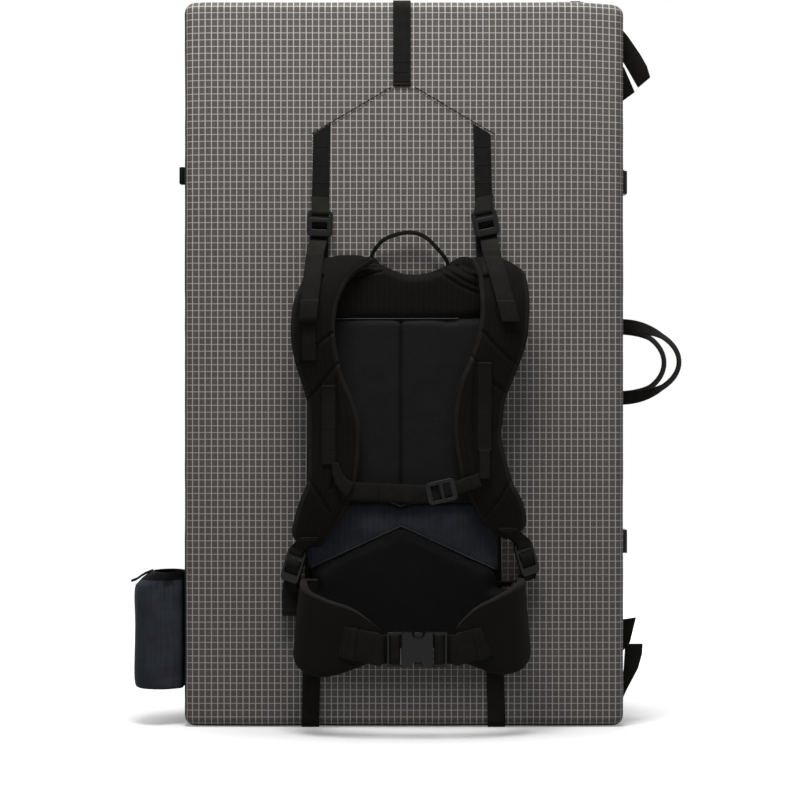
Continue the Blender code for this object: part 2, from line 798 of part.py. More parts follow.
hook_low = hook_left.z - chest_hook_height / 2
hook_high = hook_left.z + chest_hook_height / 2
hook_y = (hook_left.y - chest_hook_thickness / 2, hook_left.y + chest_hook_thickness / 2)
hook = piece(
    "chest_hook",
    add_box(bmesh.new(), (hook_left.x, hook_y[0], hook_low), (hook_right.x, hook_y[1], hook_high)),
    metal_grey, METAL, 1.0, origin=chest_left,
)
loop_slot = 2 * chest_hook_slot
for label, low_x, high_x in (
    ("webbing_slot", hook_left.x + chest_hook_bar, bar_left),
    ("loop_slot", hook_right.x - chest_hook_bar - loop_slot, hook_right.x - chest_hook_bar),
):
    cut(
        hook,
        add_box(
            bmesh.new(),
            (low_x, hook_y[0] - cut_overrun, hook_low + chest_hook_bar / 4),
            (high_x, hook_y[1] + cut_overrun, hook_high - chest_hook_bar / 4),
        ),
        label,
    )

gate_right = hook_right.x - chest_hook_bar
cut(
    hook,
    add_box(
        bmesh.new(),
        (gate_right - chest_hook_slot / 2, hook_y[0] - cut_overrun, hook_low - cut_overrun),
        (gate_right, hook_y[1] + cut_overrun, hook_low + chest_hook_bar),
    ),
    "gate",
)

keeper_share = -0.068
keeper_x = at(keeper_share, 0)[0]
keeper_inner = (webbing_thickness / 2 + seat_gap, webbing_width / 2 + seat_gap)


def ring_in_yz(x, half_y, half_z):
    """A rectangle round the chest webbing."""
    y, z = hook_left.y, hook_left.z
    return [
        (x, y + a * half_y, z + b * half_z) for a, b in ((1, 1), (-1, 1), (-1, -1), (1, -1))
    ]


keeper = bmesh.new()
outer = (keeper_inner[0] + keeper_wall, keeper_inner[1] + keeper_wall)
ends = [keeper_x - keeper_width / 2, keeper_x + keeper_width / 2]
loops = [
    [keeper.verts.new(p) for p in ring_in_yz(x, *half)]
    for x, half in (
        (ends[0], outer), (ends[1], outer), (ends[1], keeper_inner), (ends[0], keeper_inner),
    )
]
for one, other in zip(loops, loops[1:] + loops[:1]):
    for k in range(4):
        keeper.faces.new((one[k], one[k - 1], other[k - 1], other[k]))
piece("chest_keeper", keeper, ripstop_black, origin=chest_left)

# Loop on the right strap that the hook goes in

right_bar = hook_right.x - chest_hook_bar
right_anchor_share, loop_bend_share = 0.405, 0.350
anchor_depth = strap_front("right", chest_top_share) + webbing_lift
anchor = place(right_anchor_share, chest_z_share, anchor_depth)
loop_path = [
    anchor,
    place(loop_bend_share, chest_z_share, anchor_depth),
    *[
        Vector((right_bar + x, hook_left.y - depth, hook_left.z))
        for x, depth in (
            (2 * chest_hook_bar, -hook_wrap),
            (0, -hook_wrap),
            (-bar_turn, -hook_half),
            (-bar_turn, hook_half),
            (0, hook_wrap),
            (2 * chest_hook_bar, hook_wrap),
        )
    ],
    place(loop_bend_share, chest_z_share, anchor_depth + 2 * webbing_thickness),
    place(right_anchor_share, chest_z_share, anchor_depth + webbing_thickness + seat_gap),
]
shape = add_ribbon(
    bmesh.new(), loop_path, UP, webbing_width * narrow_webbing_share, webbing_thickness
)
piece("chest_loop", shape, webbing_black, origin=strap_root)

# Grab handle, a rolled strap sewn at two roots above the neck of the back pad

grab_arc_shares = (
    (-0.169, 0.986), (-0.137, 1.014), (-0.079, 1.037), (0.032, 1.050), (0.120, 1.040),
    (0.190, 1.010), (0.238, 0.982),
)
grab_depth = panel_front + 2 * seat_gap + grab_width / 2
grab_pivot = place(0, grab_arc_shares[0][1], grab_depth)
stations = []
for k, share in enumerate(grab_arc_shares):
    ends_in = min(k, len(grab_arc_shares) - 1 - k)
    lift = grab_stand_off * min(1, ends_in / 2)
    stations.append(place(*share, grab_depth + lift))
sides = []
for k, point in enumerate(stations):
    before, after = stations[max(k - 1, 0)], stations[min(k + 1, len(stations) - 1)]
    run = (after - before).normalized()
    sides.append((OUT - OUT.dot(run) * run).normalized())
shape = add_ribbon(bmesh.new(), stations, sides, grab_width, grab_thickness)
piece("grab_handle", shape, webbing_black, origin=grab_pivot)

# Hip belt. The wings turn about upright seams on the lumbar pad

bead = wing_thickness / 2
belt_root_depth = pad_front + seat_gap + bead
buckle_low_share = (-0.077, 0.0745)
buckle_low_x, buckle_z = at(*buckle_low_share)
belt_middle = buckle_low_x + buckle_length / 2
buckle_y = front_face - belt_reach

# Rows: share of the way in x from the root, share of the way in depth, top, foot
wing_row_shares = {
    "left": (
        (0.00, 0.00, 0.207, 0.040), (-0.165, 0.14, 0.212, 0.028), (-0.195, 0.38, 0.206, 0.018),
        (-0.090, 0.64, 0.196, 0.010), (0.180, 0.83, 0.184, 0.006), (0.520, 0.93, 0.160, 0.014),
        (0.820, 0.97, 0.125, 0.044),
    ),
    "right": (
        (0.00, 0.00, 0.207, 0.040), (-0.050, 0.14, 0.214, 0.030), (-0.060, 0.38, 0.208, 0.022),
        (0.060, 0.64, 0.198, 0.014), (0.300, 0.83, 0.182, 0.010), (0.560, 0.93, 0.158, 0.016),
        (0.800, 0.97, 0.122, 0.042),
    ),
}
pivot_inset = frame_outer_bar + frame_slot + frame_bar / 2
belt_run = belt_root_reach - buckle_length / 2 + pivot_inset
belt_rise = belt_reach - belt_root_depth
hands = {"left": 1, "right": -1}


bead_turns = (30, 60, 84)


def belt_root(hand):
    """The seam that a wing turns about."""
    return Vector((belt_middle - hands[hand] * belt_root_reach, front_face - belt_root_depth, 0))


def wing_plan(hand):
    """The wing's middle line seen from above."""
    root = belt_root(hand)
    return [
        Vector((root.x + hands[hand] * x * belt_run, root.y - y * belt_rise, 0))
        for x, y, _, _ in wing_row_shares[hand]
    ]


def plan_normals(plan, hand):
    """Outward half-normals of a plan line, mitred."""
    runs = [b - a for a, b in zip(plan, plan[1:])]
    normals = []
    for k in range(len(plan)):
        before, after = runs[max(k - 1, 0)], runs[min(k, len(runs) - 1)]
        one, two = (hands[hand] * run.cross(UP).normalized() for run in (before, after))
        normals.append((one + two) / (1 + one.dot(two)))
    return normals


for hand in hands:
    plan = wing_plan(hand)
    stations = []
    for point, normal, row in zip(plan, plan_normals(plan, hand), wing_row_shares[hand]):
        top, foot = at(0, row[2])[1], at(0, row[3])[1]
        centre = Vector((point.x, point.y, (top + foot) / 2))
        stations.append((centre, UP * (top - foot) / 2, normal * bead))
    seam, half_height, across = stations[0]
    back = (plan[0] - plan[1]).normalized() * bead
    for turn in (math.radians(a) for a in bead_turns):
        stations.insert(0, (seam + back * math.sin(turn), half_height, across * math.cos(turn)))
    shape = add_sweep(bmesh.new(), stations, strap_section_shares)
    root = belt_root(hand)
    piece(f"{hand}_hip_wing", shape, ripstop_black, origin=(root.x, root.y, buckle_z))

# Waist webbings, sewn on the wings and looped through the buckle's frames

frame_off = frame_thickness / 2 + lock_play + webbing_thickness / 2
sewn_start_share = 0.55
for hand, way in hands.items():
    plan = wing_plan(hand)
    normals = plan_normals(plan, hand)
    lift = bead + webbing_lift
    sewn = [plan[k] + normals[k] * lift for k in (5, 6)]
    sewn.insert(0, plan[4].lerp(plan[5], sewn_start_share) + normals[5] * lift)
    sewn.append(sewn[-1] + (plan[6] - plan[5]).normalized() * frame_slot)
    outer = Vector((belt_middle - way * buckle_length / 2, buckle_y, 0))
    slot = frame_outer_bar + frame_slot / 2
    inner = frame_outer_bar + frame_slot + frame_bar + frame_inner_slot / 2
    steps = (
        (-frame_slot, frame_off), (slot - frame_slot / 3, frame_off), (slot, 0),
        (slot + frame_slot / 3, -frame_off), (inner - frame_inner_slot / 4, -frame_off),
        (inner, 0), (inner - frame_inner_slot / 4, frame_off + webbing_thickness),
        (slot, frame_off + webbing_thickness + 2 * lock_play),
        (-2 * frame_slot, frame_off + webbing_thickness + 2 * lock_play),
    )
    ring = [outer + ACROSS * way * x - OUT * depth for x, depth in steps]
    path = [Vector((p.x, p.y, buckle_z)) for p in sewn + ring]
    laced_width = waist_webbing_width - 2 * frame_rail
    shape = add_ribbon(bmesh.new(), path, UP, laced_width, webbing_thickness)
    piece(f"{hand}_waist_webbing", shape, webbing_black)

# Waist buckle


def buckle_block(low_x, high_x, thickness, height):
    """A block of the buckle, centred on the belt."""
    return add_box(
        bmesh.new(),
        (low_x, buckle_y - thickness / 2, buckle_z - height / 2),
        (high_x, buckle_y + thickness / 2, buckle_z + height / 2),
    )


def cut_frame_slots(made, outer_x, way):
    """The two slots that the webbing is laced through."""
    first = outer_x + way * frame_outer_bar
    second = first + way * (frame_slot + frame_bar)
    slot_height = buckle_height - 2 * frame_rail
    slots = (("outer_slot", first, frame_slot), ("inner_slot", second, frame_inner_slot))
    for label, x, length in slots:
        low, high = sorted((x, x + way * length))
        cut(made, buckle_block(low, high, 2 * shell_thickness, slot_height), label)


male_outer = belt_middle - buckle_length / 2
female_outer = belt_middle + buckle_length / 2
frame_length = frame_outer_bar + frame_slot + frame_bar + frame_inner_slot
shell_right = female_outer - frame_length
shell_left = shell_right - shell_length
pivots = {
    "male": (male_outer + pivot_inset, buckle_y, buckle_z),
    "female": (female_outer - pivot_inset, buckle_y, buckle_z),
}

male_end = shell_left - seat_gap
shape = bmesh.new()
half_h, half_t = buckle_height / 2, frame_thickness / 2
tongue_half = tongue_height / 2
male_outline = [
    (male_outer, half_h), (male_end, half_h), (male_end, tongue_half),
    (male_end + tongue_length, tongue_half), (male_end + tongue_length, -tongue_half),
    (male_end, -tongue_half), (male_end, -half_h), (male_outer, -half_h),
]
ring = [(x, buckle_z + z) for x, z in male_outline]
add_loft(shape, [[(x, buckle_y + y, z) for x, z in ring] for y in (half_t, -half_t)])
male = piece("waist_buckle_male", shape, plastic_black, PLASTIC, origin=pivots["male"])
cut_frame_slots(male, male_outer, 1)

female_plan = [
    (shell_left, -shell_thickness / 2), (shell_right, -shell_thickness / 2),
    (shell_right + frame_slot / 2, -half_t), (female_outer, -half_t),
    (female_outer, half_t), (shell_right + frame_slot / 2, half_t),
    (shell_right, shell_thickness / 2), (shell_left, shell_thickness / 2),
]
shape = add_loft(
    bmesh.new(),
    [[(x, buckle_y + y, buckle_z + z) for x, y in female_plan] for z in (-half_h, half_h)],
)
female = piece("waist_buckle_female", shape, plastic_black, PLASTIC, origin=pivots["female"])
cut(
    female,
    buckle_block(
        shell_left - cut_overrun, shell_right - shell_wall,
        shell_thickness - 2 * shell_wall, buckle_height - 2 * shell_wall,
    ),
    "cavity",
)
cut_frame_slots(female, female_outer, -1)
for label, way in (("upper_notch", 1), ("lower_notch", -1)):
    shape = bmesh.new()
    middle = (shell_left + notch_from_shell_end, buckle_y, buckle_z + way * half_h)
    bmesh.ops.create_cone(
        shape, cap_ends=True, segments=24, radius1=notch_radius, radius2=notch_radius,
        depth=2 * shell_thickness,
        matrix=Matrix.Translation(middle) @ Matrix.Rotation(math.pi / 2, 4, "X"),
    )
    cut(female, shape, label)

prong_left = shell_left + prong_root_gap - seat_gap
prong_tip = prong_left + prong_length
boss_left = shell_left + notch_from_shell_end - notch_radius
boss_shoulder_share, boss_tip_share = 0.8, 0.3
prong_outline = (
    (prong_left, 0), (boss_left, 0),
    (boss_left + prong_boss_height / 2, prong_boss_height * boss_shoulder_share),
    (prong_tip - prong_boss_height, prong_boss_height), (prong_tip, prong_boss_height * boss_tip_share),
    (prong_tip, -prong_arm_height / 2), (prong_left, -prong_arm_height),
)
for name, way in (("upper_prong", 1), ("lower_prong", -1)):
    root_z = buckle_z + way * (prong_root_offset - prong_arm_height / 2)
    base_z = buckle_z + way * prong_root_offset
    half = prong_thickness / 2
    shape = add_loft(
        bmesh.new(),
        [[(x, buckle_y + y, base_z + way * z) for x, z in prong_outline] for y in (half, -half)],
    )
    piece(name, shape, plastic_black, PLASTIC, origin=(prong_left, buckle_y, root_z))

# Side pocket, open at the top, on the spine side of the front half

pocket_seat = hinge_outside - seat_gap
pocket_middle = front_face * pocket_forward_share
pocket_profile_shares = (
    (0.0, 0.93, 0.94), (0.04, 1.0, 1.0), (0.85, 1.0, 1.0), (0.94, 0.90, 0.96), (1.0, 0.64, 0.90),
)
pocket_arc_steps = 8
pocket_squareness = 0.45


def pocket_ring(height_share, reach_share, depth_share, inset, drop=0.0):
    """A ring that is flat on the pad's side and rounded outwards."""
    reach = pocket_reach * reach_share - 2 * inset
    half = pocket_depth / 2 * depth_share - inset
    z = pocket_foot + pocket_height * height_share + drop
    ring = []
    for step in range(pocket_arc_steps + 1):
        turn = math.pi * step / pocket_arc_steps
        bulge = math.sin(turn) ** pocket_squareness
        ring.append((pocket_seat - inset - reach * bulge, pocket_middle + half * math.cos(turn), z))
    return ring


outer_rings = [pocket_ring(*share, 0.0) for share in pocket_profile_shares]
inner_rings = [pocket_ring(*share, pocket_wall) for share in pocket_profile_shares]
inner_rings[0] = pocket_ring(*pocket_profile_shares[0], pocket_wall, pocket_wall)
piece("side_pocket", add_cup(bmesh.new(), outer_rings, inner_rings), ripstop_navy)

shoulder, mouth = (
    Vector((pocket_seat - pocket_reach * share[1], pocket_middle, pocket_foot + pocket_height * share[0]))
    for share in pocket_profile_shares[-2:]
)
slant = (shoulder - mouth).normalized()
off_slant = Vector((slant.z, 0, -slant.x)) * webbing_lift
tab_start = (shoulder + mouth) / 2 + off_slant
tab_path = [tab_start, tab_start + slant * pull_tab_length]
shape = add_ribbon(bmesh.new(), tab_path, Vector((0, 1, 0)), pull_tab_width, webbing_thickness)
piece("pocket_pull_tab", shape, webbing_black)

# Side carrying handles: webbing that leaves the side flat and twists to lie edge on

handle_steps = 14
handle_seat = half_width + webbing_thickness / 2


def side_handle(name, y, reach):
    """A loop of webbing between two roots on the right side."""
    path, sides = [], []
    for step in range(handle_steps + 1):
        turn = math.pi * step / handle_steps
        path.append(
            Vector(
                (
                    handle_seat + reach * math.sin(turn),
                    y,
                    handle_height + handle_span / 2 * math.cos(turn),
                )
            )
        )
        run = Vector((reach * math.cos(turn), 0, -handle_span / 2 * math.sin(turn))).normalized()
        flat = Vector((-run.z, 0, run.x))
        twist = math.pi / 2 * min(1, math.sin(turn) / math.sin(math.pi / 4))
        sides.append((flat * math.cos(twist) + Vector((0, 1, 0)) * math.sin(twist)).normalized())
    shape = add_ribbon(
        bmesh.new(), path, sides, webbing_width * narrow_webbing_share, webbing_thickness
    )
    return piece(name, shape, webbing_black, origin=(handle_seat, y, handle_height))


front_middle = (front_face + landing_front) / 2
back_middle = (landing_back + back_face) / 2
side_handle("front_side_handle", front_middle, handle_reach)
side_handle("back_side_handle", back_middle, back_handle_reach)

# Corner straps: flat tails that stand out beside the right edge

upper_tail_foot = pad_height - upper_tail_fall
upper_front_shares = (
    (0.0, 0.98), (0.22, 0.85), (0.63, 0.55), (0.83, 0.37), (0.94, 0.19), (0.54, 0.02),
    (0.14, 0.37), (0.0, 0.48),
)
upper_back_shares = ((0.0, 0.50), (0.30, 0.45), (0.66, 0.13), (0.20, 0.0), (0.0, 0.06))
lower_front_shares = (
    (0.0, 0.02), (0.06, 0.14), (0.20, 0.29), (0.54, 0.61), (0.67, 0.84), (0.69, 1.01),
    (0.12, 1.01), (0.07, 0.60), (0.0, 0.30),
)
lower_back_shares = ((0.0, 0.70), (0.50, 0.93), (0.70, 1.25), (0.16, 1.22), (0.0, 1.00))
for name, middle, upper, lower in (
    ("front_corner_strap", front_middle, upper_front_shares, lower_front_shares),
    ("back_corner_strap", back_middle, upper_back_shares, lower_back_shares),
):
    for level, shares, foot in (
        ("upper", upper, upper_tail_foot),
        ("lower", lower, lower_tail_foot),
    ):
        outline = [(side_seat + x * corner_reach, foot + z * corner_drop) for x, z in shares]
        ys = (middle + webbing_thickness / 2, middle - webbing_thickness / 2)
        shape = add_loft(bmesh.new(), [[(x, y, z) for x, z in outline] for y in ys])
        piece(f"{level}_{name}", shape, webbing_black)

# Closure buckles and their webbings on the right side, and the back half's long webbings

side_lift = side_seat + webbing_thickness / 2
closure_seat = side_seat + webbing_thickness + seat_gap
closure_outside = closure_seat + closure_buckle_thickness
female_end = landing_front + closure_female_length / 2
female_start = female_end - closure_female_length
male_start = female_end + seat_gap
male_far = male_start + closure_male_base
closure_heights = {"lower": closure_height_low, "upper": closure_height_high}

for level, z in closure_heights.items():
    path = [
        Vector((side_lift, side_flat_front[0], z)),
        Vector((side_lift, female_start + closure_female_length / 2, z)),
    ]
    shape = add_ribbon(bmesh.new(), path, UP, closure_webbing_width, webbing_thickness)
    piece(f"{level}_closure_webbing", shape, webbing_black)

    corner = [
        Vector((half_width - from_side, back_face - from_face, z))
        for from_side, from_face in edge_path(webbing_lift)
    ]
    path = [Vector((side_lift, male_start, z)), *corner[::-1]]
    path += [Vector((-p.x, p.y, z)) for p in corner]
    shape = add_ribbon(bmesh.new(), path, UP, closure_webbing_width, webbing_thickness)
    piece(f"{level}_back_webbing", shape, webbing_black)

    half = closure_buckle_width / 2
    inner = half - shell_wall - closure_play
    female = piece(
        f"{level}_closure_female",
        add_box(
            bmesh.new(), (closure_seat, female_start, z - half), (closure_outside, female_end, z + half)
        ),
        plastic_black, PLASTIC,
    )
    cut(
        female,
        add_box(
            bmesh.new(),
            (closure_seat + shell_wall, female_start + shell_wall, z - half + shell_wall),
            (closure_outside - shell_wall, female_end + cut_overrun, z + half - shell_wall),
        ),
        "cavity",
    )
    tongue_x = (closure_seat + shell_wall + closure_play, closure_outside - shell_wall - closure_play)
    tongue_end = male_start - closure_tongue_length
    outline = (
        (male_far, half), (male_start, half), (male_start, inner), (tongue_end, inner),
        (tongue_end, inner / 2), (male_start - closure_play, inner / 2),
        (male_start - closure_play, inner / 4), (tongue_end, inner / 4),
    )
    outline += tuple((y, -h) for y, h in reversed(outline))
    levels = [[(x, y, z + h) for y, h in outline] for x in tongue_x]
    shape = add_loft(bmesh.new(), levels)
    piece(f"{level}_closure_male", shape, plastic_black, PLASTIC)
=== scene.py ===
"""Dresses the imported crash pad: every soft piece made again as sewn, stuffed or woven cloth,
every hard piece given its moulded edges, and all of them lit and framed as photographed.
Metres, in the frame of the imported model."""

import math

import bmesh
import bpy
from mathutils import Matrix, Vector, noise


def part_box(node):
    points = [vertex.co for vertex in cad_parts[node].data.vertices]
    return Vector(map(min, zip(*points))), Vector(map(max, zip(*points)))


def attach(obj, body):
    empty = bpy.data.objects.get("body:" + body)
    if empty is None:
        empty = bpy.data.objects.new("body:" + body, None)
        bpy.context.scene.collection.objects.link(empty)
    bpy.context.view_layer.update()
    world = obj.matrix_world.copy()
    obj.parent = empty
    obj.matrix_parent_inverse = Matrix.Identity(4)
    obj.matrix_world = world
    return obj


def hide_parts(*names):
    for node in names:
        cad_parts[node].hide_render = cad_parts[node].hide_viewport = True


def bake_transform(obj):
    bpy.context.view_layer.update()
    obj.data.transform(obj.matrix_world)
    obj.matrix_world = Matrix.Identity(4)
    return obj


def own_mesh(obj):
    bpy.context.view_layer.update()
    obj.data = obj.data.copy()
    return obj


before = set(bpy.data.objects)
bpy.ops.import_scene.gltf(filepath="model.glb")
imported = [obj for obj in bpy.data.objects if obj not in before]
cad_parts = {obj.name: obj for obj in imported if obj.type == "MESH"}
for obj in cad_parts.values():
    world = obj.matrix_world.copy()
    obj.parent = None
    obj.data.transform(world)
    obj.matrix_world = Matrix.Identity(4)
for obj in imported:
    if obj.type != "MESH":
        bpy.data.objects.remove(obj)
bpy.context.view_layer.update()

# The filling of each half. The thick block is open-cell polyurethane foam, cut with a wire, and
# the thin sheet on the landing side is closed-cell polyethylene foam. The case is pulled over
# both, so they have the case's outline, a cloth's thickness smaller.


def linear(code):
    """An sRGB hex colour as linear RGBA."""
    parts = [int(code[k : k + 2], 16) / 255 for k in (1, 3, 5)]
    return (*(p / 12.92 if p <= 0.04045 else ((p + 0.055) / 1.055) ** 2.4 for p in parts), 1.0)


def add(tree, kind, inputs=None, **settings):
    """Adds a node with its settings. Each input is a socket to link or a value to set."""
    node = tree.nodes.new(kind)
    for name, value in settings.items():
        setattr(node, name, value)
    for name, value in (inputs or {}).items():
        if isinstance(value, bpy.types.NodeSocket):
            tree.links.new(value, node.inputs[name])
        else:
            node.inputs[name].default_value = value
    return node


def new_material(name, **constants):
    """A material, its tree and its shader, with the shader's plain constants set."""
    material = bpy.data.materials.new(name)
    material.use_nodes = True
    shader = material.node_tree.nodes["Principled BSDF"]
    for socket, value in constants.items():
        shader.inputs[socket.replace("_", " ")].default_value = value
    return material, material.node_tree, shader


def piece(name, shape, material, smooth=True):
    """Makes the bmesh a named piece at the origin, its doubles merged and normals outward."""
    bmesh.ops.remove_doubles(shape, verts=shape.verts, dist=1e-6)
    bmesh.ops.recalc_face_normals(shape, faces=shape.faces)
    mesh = bpy.data.meshes.new(name)
    shape.to_mesh(mesh)
    shape.free()
    for each in material if isinstance(material, list) else [material]:
        mesh.materials.append(each)
    mesh.polygons.foreach_set("use_smooth", [smooth] * len(mesh.polygons))
    made = bpy.data.objects.new(name, mesh)
    bpy.context.scene.collection.objects.link(made)
    return made


def copy_of(node):
    """The mesh of a CAD node as a bmesh, its loose triangles merged into flat faces."""
    shape = bmesh.new()
    shape.from_mesh(bpy.data.objects[node].data)
    shape.transform(bpy.data.objects[node].matrix_world)
    bmesh.ops.remove_doubles(shape, verts=shape.verts, dist=1e-6)
    bmesh.ops.dissolve_limit(
        shape, angle_limit=math.radians(1), use_dissolve_boundaries=False,
        verts=shape.verts, edges=shape.edges, delimit=set(),
    )
    bmesh.ops.recalc_face_normals(shape, faces=shape.faces)
    return shape


def apply_modifiers(made):
    """Makes the piece's modified shape its mesh."""
    graph = bpy.context.evaluated_depsgraph_get()
    mesh = bpy.data.meshes.new_from_object(made.evaluated_get(graph))
    made.modifiers.clear()
    made.data = mesh
    return made


pad_low, pad_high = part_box("front_cover")
back_low, back_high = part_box("back_cover")
half_width, pad_height = pad_high.x, pad_high.z
front_face, back_face = pad_low.y, back_high.y


def settle(point):
    """Where a point of a case goes as the foam takes its set: the top corners have sagged,
    the right one most."""
    x, y, z = point
    right = max(0.0, x / half_width - 0.72) / 0.28
    left = max(0.0, -x / half_width - 0.86) / 0.14
    top = max(0.0, min(1.0, (z / pad_height - 0.6) / 0.4))
    return Vector((x, y, z - top * (0.0050 * right**2 + 0.0015 * left**2)))


# Open-cell foam shows as a warm white sponge, dull and full of fine holes. The holes are 1 mm
open_cell, tree, shader = new_material("wire_cut_open_cell_foam", Roughness=0.95)
spot = add(tree, "ShaderNodeTexCoord").outputs["Object"]
holes = add(tree, "ShaderNodeTexVoronoi", {"Vector": spot, "Scale": 1 / 0.001})
tone = add(
    tree, "ShaderNodeMix",
    {0: holes.outputs["Distance"], 6: linear("#D9D2BE"), 7: linear("#EFE9D8")}, data_type="RGBA",
)
bump = add(
    tree, "ShaderNodeBump",
    {"Height": holes.outputs["Distance"], "Distance": 0.0005, "Strength": 0.7},
)
tree.links.new(tone.outputs[2], shader.inputs["Base Color"])
tree.links.new(bump.outputs["Normal"], shader.inputs["Normal"])

# Closed-cell foam is smoother and greyer, with a faint skin and cells of 2 mm
closed_cell, tree, shader = new_material("skived_closed_cell_foam", Roughness=0.7)
spot = add(tree, "ShaderNodeTexCoord").outputs["Object"]
cells = add(tree, "ShaderNodeTexVoronoi", {"Vector": spot, "Scale": 1 / 0.002})
tone = add(
    tree, "ShaderNodeMix",
    {0: cells.outputs["Distance"], 6: linear("#54585B"), 7: linear("#63686B")}, data_type="RGBA",
)
bump = add(
    tree, "ShaderNodeBump",
    {"Height": cells.outputs["Distance"], "Distance": 0.0004, "Strength": 0.3},
)
tree.links.new(tone.outputs[2], shader.inputs["Base Color"])
tree.links.new(bump.outputs["Normal"], shader.inputs["Normal"])

for side in ("front", "back"):
    for kind, material in (("open_cell_foam", open_cell), ("closed_cell_foam", closed_cell)):
        shape = copy_of(f"{side}_{kind}")
        for vert in shape.verts:
            vert.co = settle(vert.co)
        block = piece(f"{side}_{kind}_block", shape, material, smooth=False)
        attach(block, f"{side}_half")
        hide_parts(f"{side}_{kind}")

# The two cases, sewn from a coated polyester check cloth that runs on round the rolled edges,
# with a plain dark cloth on the landing faces. Narrow bands of the same dark cloth along the bottom
# and the spine side are painted shade, where the rolled edge turns away from the light. The foam
# holds them flat, and the cloth puckers a little where it turns.

edge_turn = 0.013
corner_turn = 0.016
edge_steps = 7
dent_grid = 0.018
pucker, dent = 0.0009, 0.0006
# Widths of the painted shade bands of dark cloth at the bottom and the spine side
bottom_shade_band, spine_shade_band = 0.0035, 0.0022
check_across, check_up = 0.00908, 0.00974


def case_shape(low, high):
    """A rounded slab between two faces, cut into an even net."""
    shape = bmesh.new()
    middle = Matrix.Translation((0, (low + high) / 2, pad_height / 2))
    sizes = Matrix.Diagonal((2 * half_width, high - low, pad_height, 1))
    bmesh.ops.create_cube(shape, size=1, matrix=middle @ sizes)
    through = [e for e in shape.edges if abs(e.verts[0].co.y - e.verts[1].co.y) > edge_turn]
    bmesh.ops.bevel(
        shape, geom=through, offset=corner_turn, segments=edge_steps,
        profile=0.5, material=-1, affect="EDGES",
    )
    rims = [e for e in shape.edges if abs(e.verts[0].co.y - e.verts[1].co.y) < edge_turn]
    bmesh.ops.bevel(
        shape, geom=rims, offset=edge_turn, segments=edge_steps,
        profile=0.5, material=-1, affect="EDGES",
    )
    for axis, first, last in ((0, -half_width, half_width), (2, 0.0, pad_height)):
        count = round((last - first - 2 * corner_turn) / dent_grid)
        for k in range(count + 1):
            plane = [0.0, 0.0, 0.0]
            plane[axis] = first + corner_turn + (last - first - 2 * corner_turn) * k / count
            normal = [float(axis == n) for n in range(3)]
            bmesh.ops.bisect_plane(
                shape, geom=shape.verts[:] + shape.edges[:] + shape.faces[:],
                plane_co=plane, plane_no=normal, dist=1e-5,
            )
    return shape


def cloth_run(from_side, from_face):
    """How far the cloth has run past the flat face, for a point on or round its rolled edge."""
    if from_side >= edge_turn:
        return edge_turn - from_side
    if from_face >= edge_turn:
        return edge_turn * math.pi / 2 + from_face - edge_turn
    return edge_turn * math.atan2(edge_turn - from_side, edge_turn - from_face)


def lay_check(shape, face):
    """UVs in metres: the check cloth laid flat on the face and turned round its edges. At a
    corner it runs on along the corner's own slope."""
    uv = shape.loops.layers.uv.get("UVMap") or shape.loops.layers.uv.new("UVMap")
    for polygon in shape.faces:
        for loop in polygon.loops:
            x, y, z = loop.vert.co
            past_x = max(0.0, abs(x) - (half_width - corner_turn))
            past_z = max(0.0, abs(z - pad_height / 2) - (pad_height / 2 - corner_turn))
            past = math.hypot(past_x, past_z)
            if past > 1e-6:
                run = corner_turn - edge_turn + cloth_run(corner_turn - past, abs(y - face))
                past_x, past_z = past_x / past * run, past_z / past * run
            near_x = min(abs(x), half_width - corner_turn)
            near_z = min(abs(z - pad_height / 2), pad_height / 2 - corner_turn)
            across_run = math.copysign(near_x + past_x, x)
            up_run = math.copysign(near_z + past_z, z - pad_height / 2)
            loop[uv].uv = (across_run, pad_height / 2 + up_run)


def puckered(co, normal, face):
    """Draws the cloth in along the edges, where the seam gathers it, and dents the flats."""
    from_side = min(half_width - abs(co.x), co.z, pad_height - co.z)
    along = co.x if half_width - abs(co.x) > from_side else co.z
    rim = math.exp(-(((abs(co.y - face) + from_side - 0.014) / 0.014) ** 2))
    gather = 0.5 + 0.5 * noise.noise(Vector((along / 0.034, co.y / 0.09, from_side / 0.12)))
    hollow = 0.5 + 0.5 * noise.noise(co / 0.16 + Vector((0, 0, 7)))
    return co - normal * (pucker * rim * gather + dent * hollow)


# Check cloth: light grip threads every 9 to 10 mm both ways over heathered grey yarn, with a
# thin coating that gives a low sheen. The upright threads are the brighter ones.
check_cloth, tree, shader = new_material(
    "coated_check_polyester", Roughness=0.62, Specular_IOR_Level=0.25, Sheen_Weight=0.04,
    Sheen_Roughness=0.4,
)
laid = add(tree, "ShaderNodeUVMap", uv_map="UVMap").outputs["UV"]
fleck = add(tree, "ShaderNodeTexNoise", {"Vector": laid, "Scale": 1 / 0.0022, "Detail": 2.0})
stretched = add(tree, "ShaderNodeMapping", {"Vector": laid, "Scale": (1 / 0.0016, 1 / 0.03, 1)})
streak = add(
    tree, "ShaderNodeTexNoise", {"Vector": stretched.outputs["Vector"], "Scale": 1.0, "Detail": 3.0}
)
yarn = add(
    tree, "ShaderNodeMix",
    {0: streak.outputs["Fac"], 6: linear("#474342"), 7: linear("#736E6B")}, data_type="RGBA",
)
heather = add(
    tree, "ShaderNodeMix",
    {0: 0.10, 6: yarn.outputs[2], 7: fleck.outputs["Color"]}, data_type="RGBA", blend_type="OVERLAY",
)
masks = []
